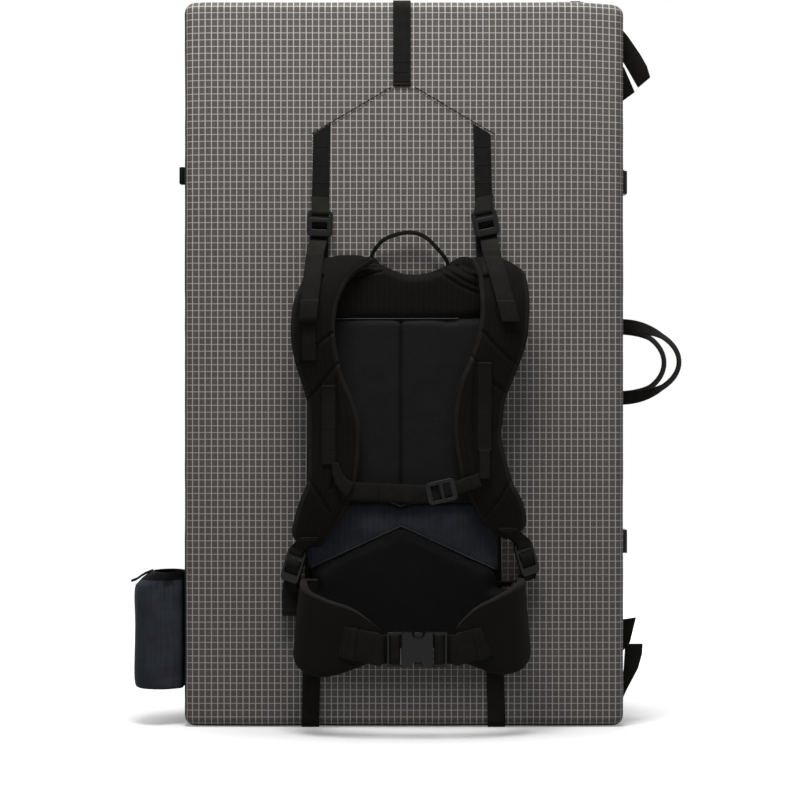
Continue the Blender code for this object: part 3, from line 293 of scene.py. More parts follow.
for direction, pitch, share in (("X", check_across, 0.150), ("Y", check_up, 0.130)):
    bands = add(
        tree, "ShaderNodeTexWave",
        {"Vector": laid, "Scale": math.pi / 10 / pitch, "Distortion": 0.0},
        bands_direction=direction, wave_profile="SIN",
    )
    crest = 0.5 + 0.5 * math.cos(math.pi * share)
    masks.append(
        add(
            tree, "ShaderNodeMapRange",
            {"Value": bands.outputs["Fac"], "From Min": crest - 0.04, "From Max": crest + 0.04},
            interpolation_type="SMOOTHSTEP",
        ).outputs["Result"]
    )
level_threads = add(
    tree, "ShaderNodeMix",
    {0: masks[1], 6: heather.outputs[2], 7: linear("#C0BBB7")}, data_type="RGBA",
)
threads = add(
    tree, "ShaderNodeMix",
    {0: masks[0], 6: level_threads.outputs[2], 7: linear("#CDCAC6")}, data_type="RGBA",
)
raised = add(tree, "ShaderNodeMath", {0: masks[0], 1: masks[1]}, operation="MAXIMUM")
weave_x = add(
    tree, "ShaderNodeTexWave", {"Vector": laid, "Scale": math.pi / 10 / 0.0012},
    bands_direction="X",
)
weave_y = add(
    tree, "ShaderNodeTexWave", {"Vector": laid, "Scale": math.pi / 10 / 0.0012},
    bands_direction="Y",
)
weave = add(
    tree, "ShaderNodeMath", {0: weave_x.outputs["Fac"], 1: weave_y.outputs["Fac"]},
    operation="MULTIPLY",
)
height = add(
    tree, "ShaderNodeMath", {0: raised.outputs[0], 1: 3.0, 2: weave.outputs[0]},
    operation="MULTIPLY_ADD",
)
bump = add(
    tree, "ShaderNodeBump",
    {"Height": height.outputs[0], "Distance": 0.00008, "Strength": 0.5},
)
rough = add(
    tree, "ShaderNodeMapRange",
    {"Value": streak.outputs["Fac"], "To Min": 0.52, "To Max": 0.72},
)
tree.links.new(threads.outputs[2], shader.inputs["Base Color"])
tree.links.new(rough.outputs["Result"], shader.inputs["Roughness"])
tree.links.new(bump.outputs["Normal"], shader.inputs["Normal"])

# Landing cloth: heavy plain-woven polyester, matt and almost black, its threads 1.5 mm apart.
# It is also laid as painted shade along the cases' bottom and spine edges
landing_cloth_and_edge_shade, tree, shader = new_material(
    "landing_polyester_and_edge_shade", Roughness=0.85, Specular_IOR_Level=0.2
)
laid = add(tree, "ShaderNodeTexCoord").outputs["Object"]
cross = [
    add(
        tree, "ShaderNodeTexWave", {"Vector": laid, "Scale": math.pi / 10 / 0.0015},
        bands_direction=direction,
    ).outputs["Fac"]
    for direction in ("X", "Z")
]
weave = add(tree, "ShaderNodeMath", {0: cross[0], 1: cross[1]}, operation="MULTIPLY")
tone = add(
    tree, "ShaderNodeMix",
    {0: weave.outputs[0], 6: linear("#1B1B1D"), 7: linear("#2A2A2C")}, data_type="RGBA",
)
bump = add(
    tree, "ShaderNodeBump", {"Height": weave.outputs[0], "Distance": 0.0002, "Strength": 0.5}
)
tree.links.new(tone.outputs[2], shader.inputs["Base Color"])
tree.links.new(bump.outputs["Normal"], shader.inputs["Normal"])

for side, low, high, face in (
    ("front", front_face, pad_high.y, front_face),
    ("back", back_low.y, back_face, back_face),
):
    shape = case_shape(low, high)
    lay_check(shape, face)
    shape.normal_update()
    landing = high if side == "front" else low
    for polygon in shape.faces:
        spot = polygon.calc_center_median()
        # The bottom and spine bands take the dark cloth as painted shade; the landing face takes it as its
        # own cloth
        in_bottom_shade = spot.z < pad_low.z + bottom_shade_band
        if in_bottom_shade or spot.x < pad_low.x + spine_shade_band or abs(spot.y - landing) < edge_turn / 3:
            polygon.material_index = 1
    moves = [(v, settle(puckered(v.co.copy(), v.normal, face))) for v in shape.verts]
    for vert, spot in moves:
        vert.co = spot
    case = piece(f"{side}_case", shape, [check_cloth, landing_cloth_and_edge_shade])
    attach(case, f"{side}_half")
    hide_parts(f"{side}_cover")

# The zips in the top sides: a woven polyester tape with a moulded nylon coil down its middle, and
# a die-cast zinc slider with a pull. The coil's turns are set 1.5 mm apart.

coil_pitch = 0.0015
coil_tooth = (0.0010, 0.0028, 0.0008)
coil_proud = 0.0002
pull_length, pull_width, pull_thickness = 0.022, 0.0055, 0.0012


def edged(shape, offset, segments=2, least_angle=30):
    """Rounds the shape's sharp edges."""
    sharp = [
        e for e in shape.edges
        if len(e.link_faces) == 2 and e.calc_face_angle(0) > math.radians(least_angle)
    ]
    bmesh.ops.bevel(
        shape, geom=sharp, offset=offset, segments=segments, profile=0.5,
        material=-1, affect="EDGES", clamp_overlap=True,
    )
    return shape


def box(shape, low, high):
    """Adds a box between two corners and gives its new vertices."""
    middle = Matrix.Translation((Vector(low) + Vector(high)) / 2)
    sizes = Matrix.Diagonal((*(Vector(high) - Vector(low)), 1))
    return bmesh.ops.create_cube(shape, size=1, matrix=middle @ sizes)["verts"]


# Zip tape and coil: dull black woven polyester, threads 1 mm apart, and slightly shinier nylon
zip_tape, tree, shader = new_material(
    "woven_zip_tape", Roughness=0.8, Specular_IOR_Level=0.05
)
spot = add(tree, "ShaderNodeTexCoord").outputs["Object"]
threads = add(
    tree, "ShaderNodeTexWave", {"Vector": spot, "Scale": math.pi / 10 / 0.001},
    bands_direction="X",
)
tone = add(
    tree, "ShaderNodeMix",
    {0: threads.outputs["Fac"], 6: linear("#151516"), 7: linear("#232324")}, data_type="RGBA",
)
bump = add(
    tree, "ShaderNodeBump",
    {"Height": threads.outputs["Fac"], "Distance": 0.0001, "Strength": 0.5},
)
tree.links.new(tone.outputs[2], shader.inputs["Base Color"])
tree.links.new(bump.outputs["Normal"], shader.inputs["Normal"])

# Dark metal: zinc die-castings and pressed steel, black-plated, with faint scratches along X
dark_metal, tree, shader = new_material("black_plated_metal", Metallic=1.0, Roughness=0.38)
spot = add(tree, "ShaderNodeTexCoord").outputs["Object"]
drawn = add(tree, "ShaderNodeMapping", {"Vector": spot, "Scale": (1 / 0.012, 1 / 0.0008, 1 / 0.0008)})
scratch = add(
    tree, "ShaderNodeTexNoise", {"Vector": drawn.outputs["Vector"], "Scale": 1.0, "Detail": 3.0}
)
tone = add(
    tree, "ShaderNodeMix",
    {0: scratch.outputs["Fac"], 6: linear("#2C2C2D"), 7: linear("#4A4A4B")}, data_type="RGBA",
)
rough = add(
    tree, "ShaderNodeMapRange", {"Value": scratch.outputs["Fac"], "To Min": 0.30, "To Max": 0.50}
)
tree.links.new(tone.outputs[2], shader.inputs["Base Color"])
tree.links.new(rough.outputs["Result"], shader.inputs["Roughness"])

for side in ("front", "back"):
    low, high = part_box(f"{side}_zipper_tape")
    slider_low, slider_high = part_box(f"{side}_zip_slider")
    middle = (low.y + high.y) / 2
    shape = bmesh.new()
    box(shape, low, high)
    edged(shape, 0.0003)
    reach = slider_high.x - low.x
    for row in (-1, 1):
        for k in range(round(reach / coil_pitch)):
            x = low.x + 0.006 + coil_pitch * (k + row / 4)
            if x > high.x - 0.006:
                break
            centre = Vector((x, middle + row * coil_tooth[1] * 0.42, high.z + coil_proud))
            half = Vector(coil_tooth) / 2
            foot = centre - Vector((half.x, half.y, 2 * half.z))
            box(shape, foot, centre + Vector((half.x, half.y, 0)))
    tape = piece(f"{side}_zip_tape_and_coil", shape, zip_tape, smooth=False)
    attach(tape, f"{side}_half")
    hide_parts(f"{side}_zipper_tape")

    shape = copy_of(f"{side}_zip_slider")
    top = slider_high.z
    pull_x = slider_low.x - 0.002
    box(
        shape,
        (pull_x - pull_length, middle - pull_width / 2, top - pull_thickness),
        (pull_x, middle + pull_width / 2, top),
    )
    box(
        shape,
        (pull_x - 0.001, middle - 0.0012, top - 0.0008),
        (slider_high.x - 0.005, middle + 0.0012, top + 0.0014),
    )
    edged(shape, 0.0004)
    slider = piece(f"{side}_slider_and_pull", shape, dark_metal)
    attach(slider, f"{side}_zip")
    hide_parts(f"{side}_zip_slider")

# The fabric hinge: one strip of heavy woven nylon along the spine, folded in at its edges and
# sewn to both halves with two rows of stitches. On the real pad it folds back to back when the pad
# lies open; here it is one fixed strip.

hinge_cuts, hinge_inset = (28, 60), 0.0002
stitch_length, stitch_gap, stitch_width = 0.0032, 0.0012, 0.0009


def stitches(shape, path, out, length=stitch_length, gap=stitch_gap, width=stitch_width):
    """Adds a row of raised stitches along a path of points, each a slim bead of thread."""
    row = bmesh.new()
    for start, end in zip(path, path[1:]):
        run = Vector(end) - Vector(start)
        count = max(1, int(run.length / (length + gap)))
        along = run.normalized()
        across = along.cross(out).normalized()
        turn = Matrix((along, across, out)).transposed().to_4x4()
        for k in range(count):
            centre = Vector(start) + run * (k + 0.5) / count
            matrix = Matrix.Translation(centre) @ turn @ Matrix.Diagonal((length, width, width, 1))
            bmesh.ops.create_icosphere(row, subdivisions=1, radius=0.5, matrix=matrix)
    for face in row.faces:
        face.material_index = 1
    mesh = bpy.data.meshes.new("row")
    row.to_mesh(mesh)
    row.free()
    shape.from_mesh(mesh)
    bpy.data.meshes.remove(mesh)
    return shape


def lay_flat(shape, first, second):
    """UVs in metres from two of the piece's own axes."""
    uv = shape.loops.layers.uv.get("UVMap") or shape.loops.layers.uv.new("UVMap")
    for face in shape.faces:
        for loop in face.loops:
            loop[uv].uv = (loop.vert.co[first], loop.vert.co[second])


# Bonded nylon thread: a tight twist, a little shinier than the cloth that it sews
thread_black, tree, shader = new_material(
    "bonded_nylon_thread", Roughness=0.55, Specular_IOR_Level=0.1
)
spot = add(tree, "ShaderNodeTexCoord").outputs["Object"]
twist = add(
    tree, "ShaderNodeTexWave", {"Vector": spot, "Scale": math.pi / 10 / 0.0008},
    bands_direction="DIAGONAL",
)
tone = add(
    tree, "ShaderNodeMix",
    {0: twist.outputs["Fac"], 6: linear("#0D0D0C"), 7: linear("#191817")}, data_type="RGBA",
)
tree.links.new(tone.outputs[2], shader.inputs["Base Color"])

# Ripstop and pack cloth: fine plain-woven nylon. The ripstops have a stronger thread every 8 mm
# along them and a fainter one across, which sink in and are painted darker there, as painted shade
# in the grooves; the pack cloth has none. All are dull, with soft clouds of wear.
ripstop = {}
for name, dark, light, line, along, athwart, depth in (
    ("brown", "#131210", "#1C1A17", "#080808", 0.0081, 0.0110, 0.45),
    ("navy", "#363940", "#4A4E56", "#23262C", 0.0081, 0.0110, 0.25),
    ("black", "#131313", "#1B1B1B", "#0A0A0A", None, None, 0.0),
    ("plain", "#131211", "#1A1917", "#0A0909", None, None, 0.0),
    # A lighter plain cloth for the rolled edges of the straps and wings: painted sheen
    ("edge_sheen", "#211F1D", "#2D2B28", "#0A0909", None, None, 0.0),
):
    material, tree, shader = new_material(
        f"{name}_pack_nylon", Roughness=0.74, Specular_IOR_Level=0.05
    )
    laid = add(tree, "ShaderNodeUVMap", uv_map="UVMap").outputs["UV"]
    cloud = add(tree, "ShaderNodeTexNoise", {"Vector": laid, "Scale": 1 / 0.03, "Detail": 3.0})
    pulled = add(tree, "ShaderNodeMapping", {"Vector": laid, "Scale": (1 / 0.0022, 1 / 0.04, 1)})
    yarns = add(
        tree, "ShaderNodeTexNoise", {"Vector": pulled.outputs["Vector"], "Scale": 1.0, "Detail": 2.0}
    )
    shade = add(
        tree, "ShaderNodeMath", {0: yarns.outputs["Fac"], 1: 0.5, 2: cloud.outputs["Fac"]},
        operation="MULTIPLY_ADD",
    )
    spread = add(
        tree, "ShaderNodeMapRange", {"Value": shade.outputs[0], "From Min": 0.45, "From Max": 1.05}
    )
    base = add(
        tree, "ShaderNodeMix",
        {0: spread.outputs["Result"], 6: linear(dark), 7: linear(light)}, data_type="RGBA",
    ).outputs[2]
    fine = add(
        tree, "ShaderNodeTexWave", {"Vector": laid, "Scale": math.pi / 10 / 0.0012},
        bands_direction="DIAGONAL",
    )
    height = fine.outputs["Fac"]
    for direction, pitch, strength in (("X", along, depth), ("Y", athwart, depth / 4)):
        if not pitch:
            continue
        bands = add(
            tree, "ShaderNodeTexWave",
            {"Vector": laid, "Scale": math.pi / 10 / pitch, "Distortion": 0.6, "Detail Scale": 6.0},
            bands_direction=direction,
        )
        # Where the lines sink in, the colour is painted darker: painted shade in the grooves
        sunk_line_shade = add(
            tree, "ShaderNodeMapRange",
            {"Value": bands.outputs["Fac"], "From Min": 0.90, "From Max": 0.99, "To Max": strength},
            interpolation_type="SMOOTHSTEP",
        ).outputs["Result"]
        base = add(
            tree, "ShaderNodeMix", {0: sunk_line_shade, 6: base, 7: linear(line)}, data_type="RGBA"
        ).outputs[2]
        height = add(
            tree, "ShaderNodeMath", {0: sunk_line_shade, 1: -2.0, 2: height}, operation="MULTIPLY_ADD"
        ).outputs[0]
    bump = add(
        tree, "ShaderNodeBump", {"Height": height, "Distance": 0.00008, "Strength": 0.6}
    )
    rough = add(
        tree, "ShaderNodeMapRange", {"Value": cloud.outputs["Fac"], "To Min": 0.66, "To Max": 0.82}
    )
    tree.links.new(base, shader.inputs["Base Color"])
    tree.links.new(rough.outputs["Result"], shader.inputs["Roughness"])
    tree.links.new(bump.outputs["Normal"], shader.inputs["Normal"])
    ripstop[name] = material

low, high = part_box("fold_hinge")
hinge_middle = (low + high) / 2
shape = bmesh.new()
facing_left = Matrix.Rotation(math.pi / 2, 4, "Y")
spread = Matrix.Diagonal((high.z - low.z, high.y - low.y, 1, 1))
bmesh.ops.create_grid(
    shape, x_segments=hinge_cuts[1], y_segments=hinge_cuts[0], size=0.5,
    matrix=Matrix.Translation((low.x + hinge_inset, hinge_middle.y, hinge_middle.z)) @ facing_left @ spread,
)
bmesh.ops.recalc_face_normals(shape, faces=shape.faces)
grown = bmesh.ops.extrude_face_region(shape, geom=shape.faces[:])["geom"]
moved = [v for v in grown if isinstance(v, bmesh.types.BMVert)]
bmesh.ops.translate(shape, verts=moved, vec=(high.x - low.x - 2 * hinge_inset, 0, 0))
lay_flat(shape, 1, 2)
for inset in (0.005, 0.011):
    for y in (low.y + inset, high.y - inset):
        row = [(low.x + hinge_inset, y, z) for z in (low.z + 0.01, high.z - 0.01)]
        stitches(shape, row, Vector((-1, 0, 0)), length=0.0045)
hinge = piece("spine_hinge_strip", shape, [ripstop["black"], thread_black])
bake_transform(hinge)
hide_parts("fold_hinge")

# The reinforcement panel: a second layer of the check cloth with its top cut to a shallow point,
# sewn to the case round its rim with a zigzag. It spreads the load of the harness.

harness_middle, harness_width, harness_foot, harness_height = -0.003, 0.270, 0.080, 0.600
zigzag_pitch, zigzag_swing = 0.0046, 0.0034


def place(x_share, z_share, depth):
    """A point in front of the front face, from shares of the harness's width and height."""
    x = harness_middle + x_share * harness_width
    return Vector((x, front_face - depth, harness_foot + z_share * harness_height))


def zigzag(start, end, out):
    """A zigzag line from one point to another, lying on a surface that faces out."""
    run = Vector(end) - Vector(start)
    count = round(run.length / zigzag_pitch)
    aside = run.cross(out).normalized() * zigzag_swing / 2
    return [Vector(start) + run * k / count + aside * (-1) ** k for k in range(count + 1)]


shape = copy_of("reinforcement_panel")
edged(shape, 0.0004, segments=1)
lay_flat(shape, 0, 2)
shape.normal_update()
panel_area = sum(f.calc_area() for f in shape.faces if f.normal.y < -0.9)
panel_low, panel_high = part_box("reinforcement_panel")
panel_corners = [
    (-0.055, 1.400), (0.067, 1.400), (0.499, 1.285), (0.490, 0.171), (-0.484, 0.171), (-0.484, 1.287),
]
for k, corner in enumerate(panel_corners):
    after = panel_corners[(k + 1) % len(panel_corners)]
    start, end = (place(0.985 * x, z - 0.005, -panel_low.y + front_face) for x, z in (corner, after))
    stitches(shape, zigzag(start, end, Vector((0, -1, 0))), Vector((0, -1, 0)), length=0.0042, gap=0.0002)
# Along the two top edges, a seam of dark thread with no gaps, which also paints the shade under the panel's
# edge
for corner, after in (((-0.055, 1.400), (-0.484, 1.287)), ((0.067, 1.400), (0.499, 1.285))):
    start, end = (place(x, z + 0.0008, -panel_low.y + front_face) for x, z in (corner, after))
    stitches(shape, [start, end], Vector((0, -1, 0)), length=0.007, gap=0.0, width=0.0018)
panel = piece("harness_reinforcement", shape, [check_cloth, thread_black], smooth=False)
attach(panel, "front_half")
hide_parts("reinforcement_panel")

# The webbings on the front: flat woven polyester, 25 mm wide. One comes over the top edge to the
# panel's point. Two long ones run from the panel's shoulders down under the harness to the bottom
# edge, each sewn down with bar tacks, and hold a ladder-lock in a loop.

web_width, web_thickness = 0.0252, 0.0018
web_section = [
    (-1, 0), (-0.985, 0.7), (-0.94, 1), (-0.47, 1), (0, 1), (0.47, 1), (0.94, 1), (0.985, 0.7), (1, 0),
]
web_section += [(s, -u) for s, u in web_section[-2:0:-1]]
clearance = 0.0003
across, out, upward = Vector((1, 0, 0)), Vector((0, -1, 0)), Vector((0, 0, 1))


def flowing(points, steps=5):
    """A smooth line through the points."""
    points = [Vector(p) for p in points]
    ends = [2 * points[0] - points[1], *points, 2 * points[-1] - points[-2]]
    line = []
    for a, b, c, d in zip(ends, ends[1:], ends[2:], ends[3:]):
        for k in range(steps):
            t = k / steps
            bow, twist = 2 * a - 5 * b + 4 * c - d, 3 * b - a - 3 * c + d
            line.append(0.5 * (2 * b + (c - a) * t + bow * t**2 + twist * t**3))
    return line + [points[-1]]


def pull_along(shape, section, stations, material=0, rims=()):
    """Pulls a closed section along stations of (centre, half width, half thickness), and lays
    UVs in metres across and along it. Each rim is (lowest share, highest share, material)."""
    uv = shape.loops.layers.uv.get("UVMap") or shape.loops.layers.uv.new("UVMap")
    ring = [shape.verts.new((0, 0, 0)) for _ in section]
    edges = [shape.edges.new(pair) for pair in zip(ring, ring[1:] + ring[:1])]
    seen, spots, shares, faces, run, last = set(ring), {}, {}, set(), 0.0, None
    ends = [edges]
    for centre, side, up in stations:
        if last is not None:
            bmesh.ops.extrude_edge_only(shape, edges=edges)
            ring = [
                next(e.other_vert(v) for e in v.link_edges if e.other_vert(v) not in seen) for v in ring
            ]
            seen |= set(ring)
            edges = [shape.edges.get(pair) for pair in zip(ring, ring[1:] + ring[:1])]
            run += (centre - last).length
        for vert, (s, u) in zip(ring, section):
            vert.co = centre + s * side + u * up
            spots[vert] = (s * side.length, run)
            shares[vert] = s
        last = centre
    ends.append(edges)
    for loop_edges in ends:
        bmesh.ops.edgeloop_fill(shape, edges=loop_edges)
    for vert in spots:
        faces |= set(vert.link_faces)
    for face in faces:
        face.material_index = material
        span = [shares[v] for v in face.verts]
        for least, most, other in rims:
            if least - 1e-6 <= min(span) and max(span) <= most + 1e-6:
                face.material_index = other
        for loop in face.loops:
            loop[uv].uv = spots[loop.vert]
    return shape


def lay_webbing(shape, path, sides, width=web_width, thickness=web_thickness, material=0):
    """Lays a flat webbing along a path, its width along the side given at each point. Long
    straight runs get two more rings near their ends, which keep their shading flat."""
    sides = [sides] * len(path) if isinstance(sides, Vector) else sides
    widths = width if isinstance(width, list) else [width] * len(path)
    sides = [side.normalized() * reach / 2 for side, reach in zip(sides, widths)]
    rows = [(Vector(path[0]), Vector(sides[0]))]
    for (a, b), (c, d) in zip(zip(path, path[1:]), zip(sides, sides[1:])):
        if (b - a).length > 4 * thickness:
            near = thickness / (b - a).length
            rows += [(a.lerp(b, t), c.lerp(d, t)) for t in (near, 1 - near)]
        rows.append((Vector(b), Vector(d)))
    path, sides = [row[0] for row in rows], [row[1] for row in rows]
    spans = [b - a for a, b in zip(path, path[1:])]
    stations = []
    for k, (point, side) in enumerate(zip(path, sides)):
        before, after = spans[max(k - 1, 0)], spans[min(k, len(spans) - 1)]
        first, second = (side.cross(run).normalized() for run in (before, after))
        up = (first + second) / (1 + max(first.dot(second), -0.5))
        stations.append((point, side, up * thickness / 2))
    return pull_along(shape, web_section, stations, material)


def bar_tack(shape, centre, along, facing, length, height=0.0026):
    """A dense zigzag of thread across a webbing, which holds it down."""
    count = round(length / 0.0011)
    aside = along.cross(facing).normalized() * height / 2
    start = centre - along * length / 2
    line = [start + along * length * k / count + aside * (-1) ** k for k in range(count + 1)]
    return stitches(shape, line, facing, length=0.0030, gap=0.0, width=0.0010)


# Webbing: polyester yarn in ribs 1.7 mm apart along it, crossed by finer picks. It is matt,
# and the ribs are painted lighter than the hollows between them: a painted highlight.
webbing_cloth, tree, shader = new_material(
    "woven_polyester_webbing", Roughness=0.78, Specular_IOR_Level=0.05
)
laid = add(tree, "ShaderNodeUVMap", uv_map="UVMap").outputs["UV"]
ribs = add(
    tree, "ShaderNodeTexWave", {"Vector": laid, "Scale": math.pi / 10 / 0.0017}, bands_direction="X"
)
picks = add(
    tree, "ShaderNodeTexWave", {"Vector": laid, "Scale": math.pi / 10 / 0.0012}, bands_direction="Y"
)
ribs_and_rib_highlight = add(
    tree, "ShaderNodeMath", {0: ribs.outputs["Fac"], 1: 0.6, 2: picks.outputs["Fac"]},
    operation="MULTIPLY_ADD",
)
cloud = add(tree, "ShaderNodeTexNoise", {"Vector": laid, "Scale": 1 / 0.02, "Detail": 4.0})
shade = add(
    tree, "ShaderNodeMath", {0: ribs_and_rib_highlight.outputs[0], 1: 0.35, 2: cloud.outputs["Fac"]},
    operation="MULTIPLY_ADD",
)
# Lighter on the ribs: painted highlight, with random clouds of tone
tone = add(
    tree, "ShaderNodeMapRange", {"Value": shade.outputs[0], "From Min": 0.4, "From Max": 1.2}
)
colour = add(
    tree, "ShaderNodeMix",
    {0: tone.outputs["Result"], 6: linear("#1A1917"), 7: linear("#2A2926")}, data_type="RGBA",
)
bump = add(
    tree, "ShaderNodeBump", {"Height": ribs_and_rib_highlight.outputs[0], "Distance": 0.0002, "Strength": 0.6}
)
tree.links.new(colour.outputs[2], shader.inputs["Base Color"])
tree.links.new(bump.outputs["Normal"], shader.inputs["Normal"])


def round_edge(lift):
    """Points round a case's rolled edge: (from the side, from the face)."""
    line = [(edge_turn * 2, -lift)]
    for step in range(9):
        turn = math.pi / 2 * step / 8
        reach = edge_turn + lift
        line.append((edge_turn - reach * math.sin(turn), edge_turn - reach * math.cos(turn)))
    return line


web_lift = clearance + web_thickness / 2
low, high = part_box("top_webbing")
middle_x = (low.x + high.x) / 2
path = [Vector((middle_x, front_face - web_lift, low.z))]
path += [Vector((middle_x, front_face + y, pad_height - z)) for z, y in round_edge(web_lift)]
shape = lay_webbing(bmesh.new(), path, across)
fold = low.z + 0.0035
lay_webbing(
    shape,
    [Vector((middle_x, front_face - web_lift - web_thickness * 0.9, z)) for z in (low.z, fold)],
    across, thickness=web_thickness * 0.8,
)
for z in (low.z + 0.0065, low.z + 0.020, low.z + 0.034):
    spot = Vector((middle_x, front_face - web_lift - web_thickness / 2, z))
    bar_tack(shape, spot, across, out, web_width * 0.9)
top = piece("top_webbing_strap", shape, [webbing_cloth, thread_black])
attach(top, "front_half")
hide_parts("top_webbing")

# Where the ladder-locks sit on them. Each lock's own zero is the middle of its middle bar
lock_width, lock_thickness, lock_bar = 0.037, 0.004, 0.005
lock_window, lock_upper_window, lock_grip, lock_play = 0.010, 0.008, 0.0085, 0.0005
window_low = -lock_bar / 2 - lock_window
lock_low = window_low - lock_grip
top_bar_middle = lock_bar + lock_upper_window
lock_top = top_bar_middle + lock_bar / 2
locks = {}
for name, spot, lean in (
    ("left_lifter", place(-0.435, 1.076, 0.0135), 3),
    ("right_lifter", place(0.441, 1.078, 0.0135), -12),
    ("left_strap", place(-0.569, 0.262, 0.022), 10),
    ("right_strap", place(0.655, 0.279, 0.022), -10),
):
    locks[name] = Matrix.Translation(spot) @ Matrix.Rotation(math.radians(lean), 4, "Y")

# Hanging free, the two at the straps' feet are longer, and turned out to the sides
turned_locks = dict(locks)
for name, way in (("left_strap", 1), ("right_strap", -1)):
    leant = Matrix.Rotation(math.radians(6 * way), 4, "Y")
    leant = leant @ Matrix.Rotation(math.radians(-38 * way), 4, "Z")
    turned_locks[name] = locks[name] @ leant @ Matrix.Diagonal((0.92, 1, 1.3, 1))


def loop_round_bar(matrix, front_end, back_end):
    """The sewn loop of webbing that holds a ladder-lock by its top bar."""
    reach = math.hypot(lock_bar, lock_thickness) / 2 + lock_play + web_thickness / 2
    ring = [
        matrix @ Vector((0, -reach * math.cos(a), top_bar_middle + reach * math.sin(a)))
        for a in (math.radians(d) for d in (55, 25, 0, -22, -45, -68, -90, -113, -135, -158, 180, 150, 125))
    ]
    return [Vector(front_end), *ring, Vector(back_end)]


panel_front = front_face - panel_low.y
for hand, top_share, foot_share in (("left", -0.426, -0.487), ("right", 0.425, 0.504)):
    start, end = place(top_share, 1.300, 0), place(foot_share, -harness_foot / harness_height, 0)
    lift = panel_front + web_lift
    path = [Vector((start.x, front_face - lift, start.z))]
    for z, y in round_edge(lift)[:-2]:
        share = (start.z - z) / start.z
        path.append(Vector((start.x + (end.x - start.x) * share, front_face + y, z)))
    shape = lay_webbing(bmesh.new(), path, across)
    slant = -1 if hand == "left" else 1
    for vert in shape.verts:
        if vert.co.z > start.z - 0.03:
            vert.co.z -= slant * (vert.co.x - start.x) * 0.62
    for drop in (0.026, 0.052, 0.078, 0.104):
        z = start.z - drop
        x = start.x + (end.x - start.x) * drop / start.z
        spot = Vector((x, front_face - lift - web_thickness / 2, z))
        bar_tack(shape, spot, across, out, web_width * 0.86)
    matrix = locks[f"{hand}_lifter"]
    stitched = matrix.translation + upward * (lock_top + 2 * lock_window)
    rest = front_face - lift - web_thickness
    returned = rest - web_thickness - 2 * lock_play
    loop = loop_round_bar(
        matrix, (stitched.x, returned, stitched.z), (stitched.x, rest, stitched.z)
    )
    lay_webbing(shape, loop, matrix.to_3x3() @ across)
    spot = Vector((stitched.x, returned - web_thickness / 2, stitched.z - 0.003))
    bar_tack(shape, spot, across, out, web_width * 0.9)
    long_webbing = piece(f"{hand}_long_strap_and_loop", shape, [webbing_cloth, thread_black])
    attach(long_webbing, "front_half")
    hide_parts(f"{hand}_long_webbing")

# The ladder-lock buckles: injection-moulded acetal, 37 mm wide, with rounded rails, a window for
# the webbing's turn and a grip bar at the foot. Two carry the load lifters and two the straps.

# Acetal: moulded matt black, with soft highlights on its rounded rails and a fine spark texture
acetal, tree, shader = new_material(
    "moulded_acetal", Roughness=0.34, IOR=1.48, Specular_IOR_Level=0.18
)
spot = add(tree, "ShaderNodeTexCoord").outputs["Object"]
spark = add(tree, "ShaderNodeTexNoise", {"Vector": spot, "Scale": 1 / 0.0006, "Detail": 3.0})
patch = add(tree, "ShaderNodeTexNoise", {"Vector": spot, "Scale": 1 / 0.012, "Detail": 2.0})
colour = add(
    tree, "ShaderNodeMix",
    {0: patch.outputs["Fac"], 6: linear("#121212"), 7: linear("#1A1A1A")}, data_type="RGBA",
)
rough = add(
    tree, "ShaderNodeMapRange", {"Value": patch.outputs["Fac"], "To Min": 0.28, "To Max": 0.42}
)
bump = add(
    tree, "ShaderNodeBump", {"Height": spark.outputs["Fac"], "Distance": 0.00005, "Strength": 0.35}
)
tree.links.new(colour.outputs[2], shader.inputs["Base Color"])
tree.links.new(rough.outputs["Result"], shader.inputs["Roughness"])
tree.links.new(bump.outputs["Normal"], shader.inputs["Normal"])


def window_frame(shape, columns, rows, front, back, panes=((1, 1),), turn=0.0050):
    """Adds a flat frame with windows: the edges of its cells in X and Z, its depths, and which
    cells are open."""
    across_count, up_count = len(columns) - 1, len(rows) - 1
    frame_shape = bmesh.new()
    bmesh.ops.create_grid(frame_shape, x_segments=across_count, y_segments=up_count, size=0.5)
    opened = []
    for face in frame_shape.faces:
        spot = face.calc_center_median()
        cell = int((spot.x + 0.5) * across_count), int((spot.y + 0.5) * up_count)
        if cell in panes:
            opened.append(face)
    for vert in frame_shape.verts:
        column, row = round((vert.co.x + 0.5) * across_count), round((vert.co.y + 0.5) * up_count)
        vert.co = Vector((columns[column], front, rows[row]))
    bmesh.ops.delete(frame_shape, geom=opened, context="FACES")
    grown = bmesh.ops.extrude_face_region(frame_shape, geom=frame_shape.faces[:])["geom"]
    moved = [v for v in grown if isinstance(v, bmesh.types.BMVert)]
    bmesh.ops.translate(frame_shape, verts=moved, vec=(0, back - front, 0))
    bmesh.ops.recalc_face_normals(frame_shape, faces=frame_shape.faces)
    for offset, xs, segments in ((turn, (columns[0], columns[-1]), 5), (0.0014, columns[1:-1], 3)):
        corners = [
            e for e in frame_shape.edges
            if abs(e.verts[0].co.y - e.verts[1].co.y) > 0.0001 and len(e.link_faces) == 2
            and e.calc_face_angle(0) > 1 and min(abs(e.verts[0].co.x - x) for x in xs) < 1e-5
        ]
        bmesh.ops.bevel(
            frame_shape, geom=corners, offset=offset, segments=segments, profile=0.5, material=-1,
            affect="EDGES",
        )
    edged(frame_shape, 0.0008, segments=2, least_angle=50)
    mesh = bpy.data.meshes.new("frame")
    frame_shape.to_mesh(mesh)
    frame_shape.free()
    shape.from_mesh(mesh)
    bpy.data.meshes.remove(mesh)


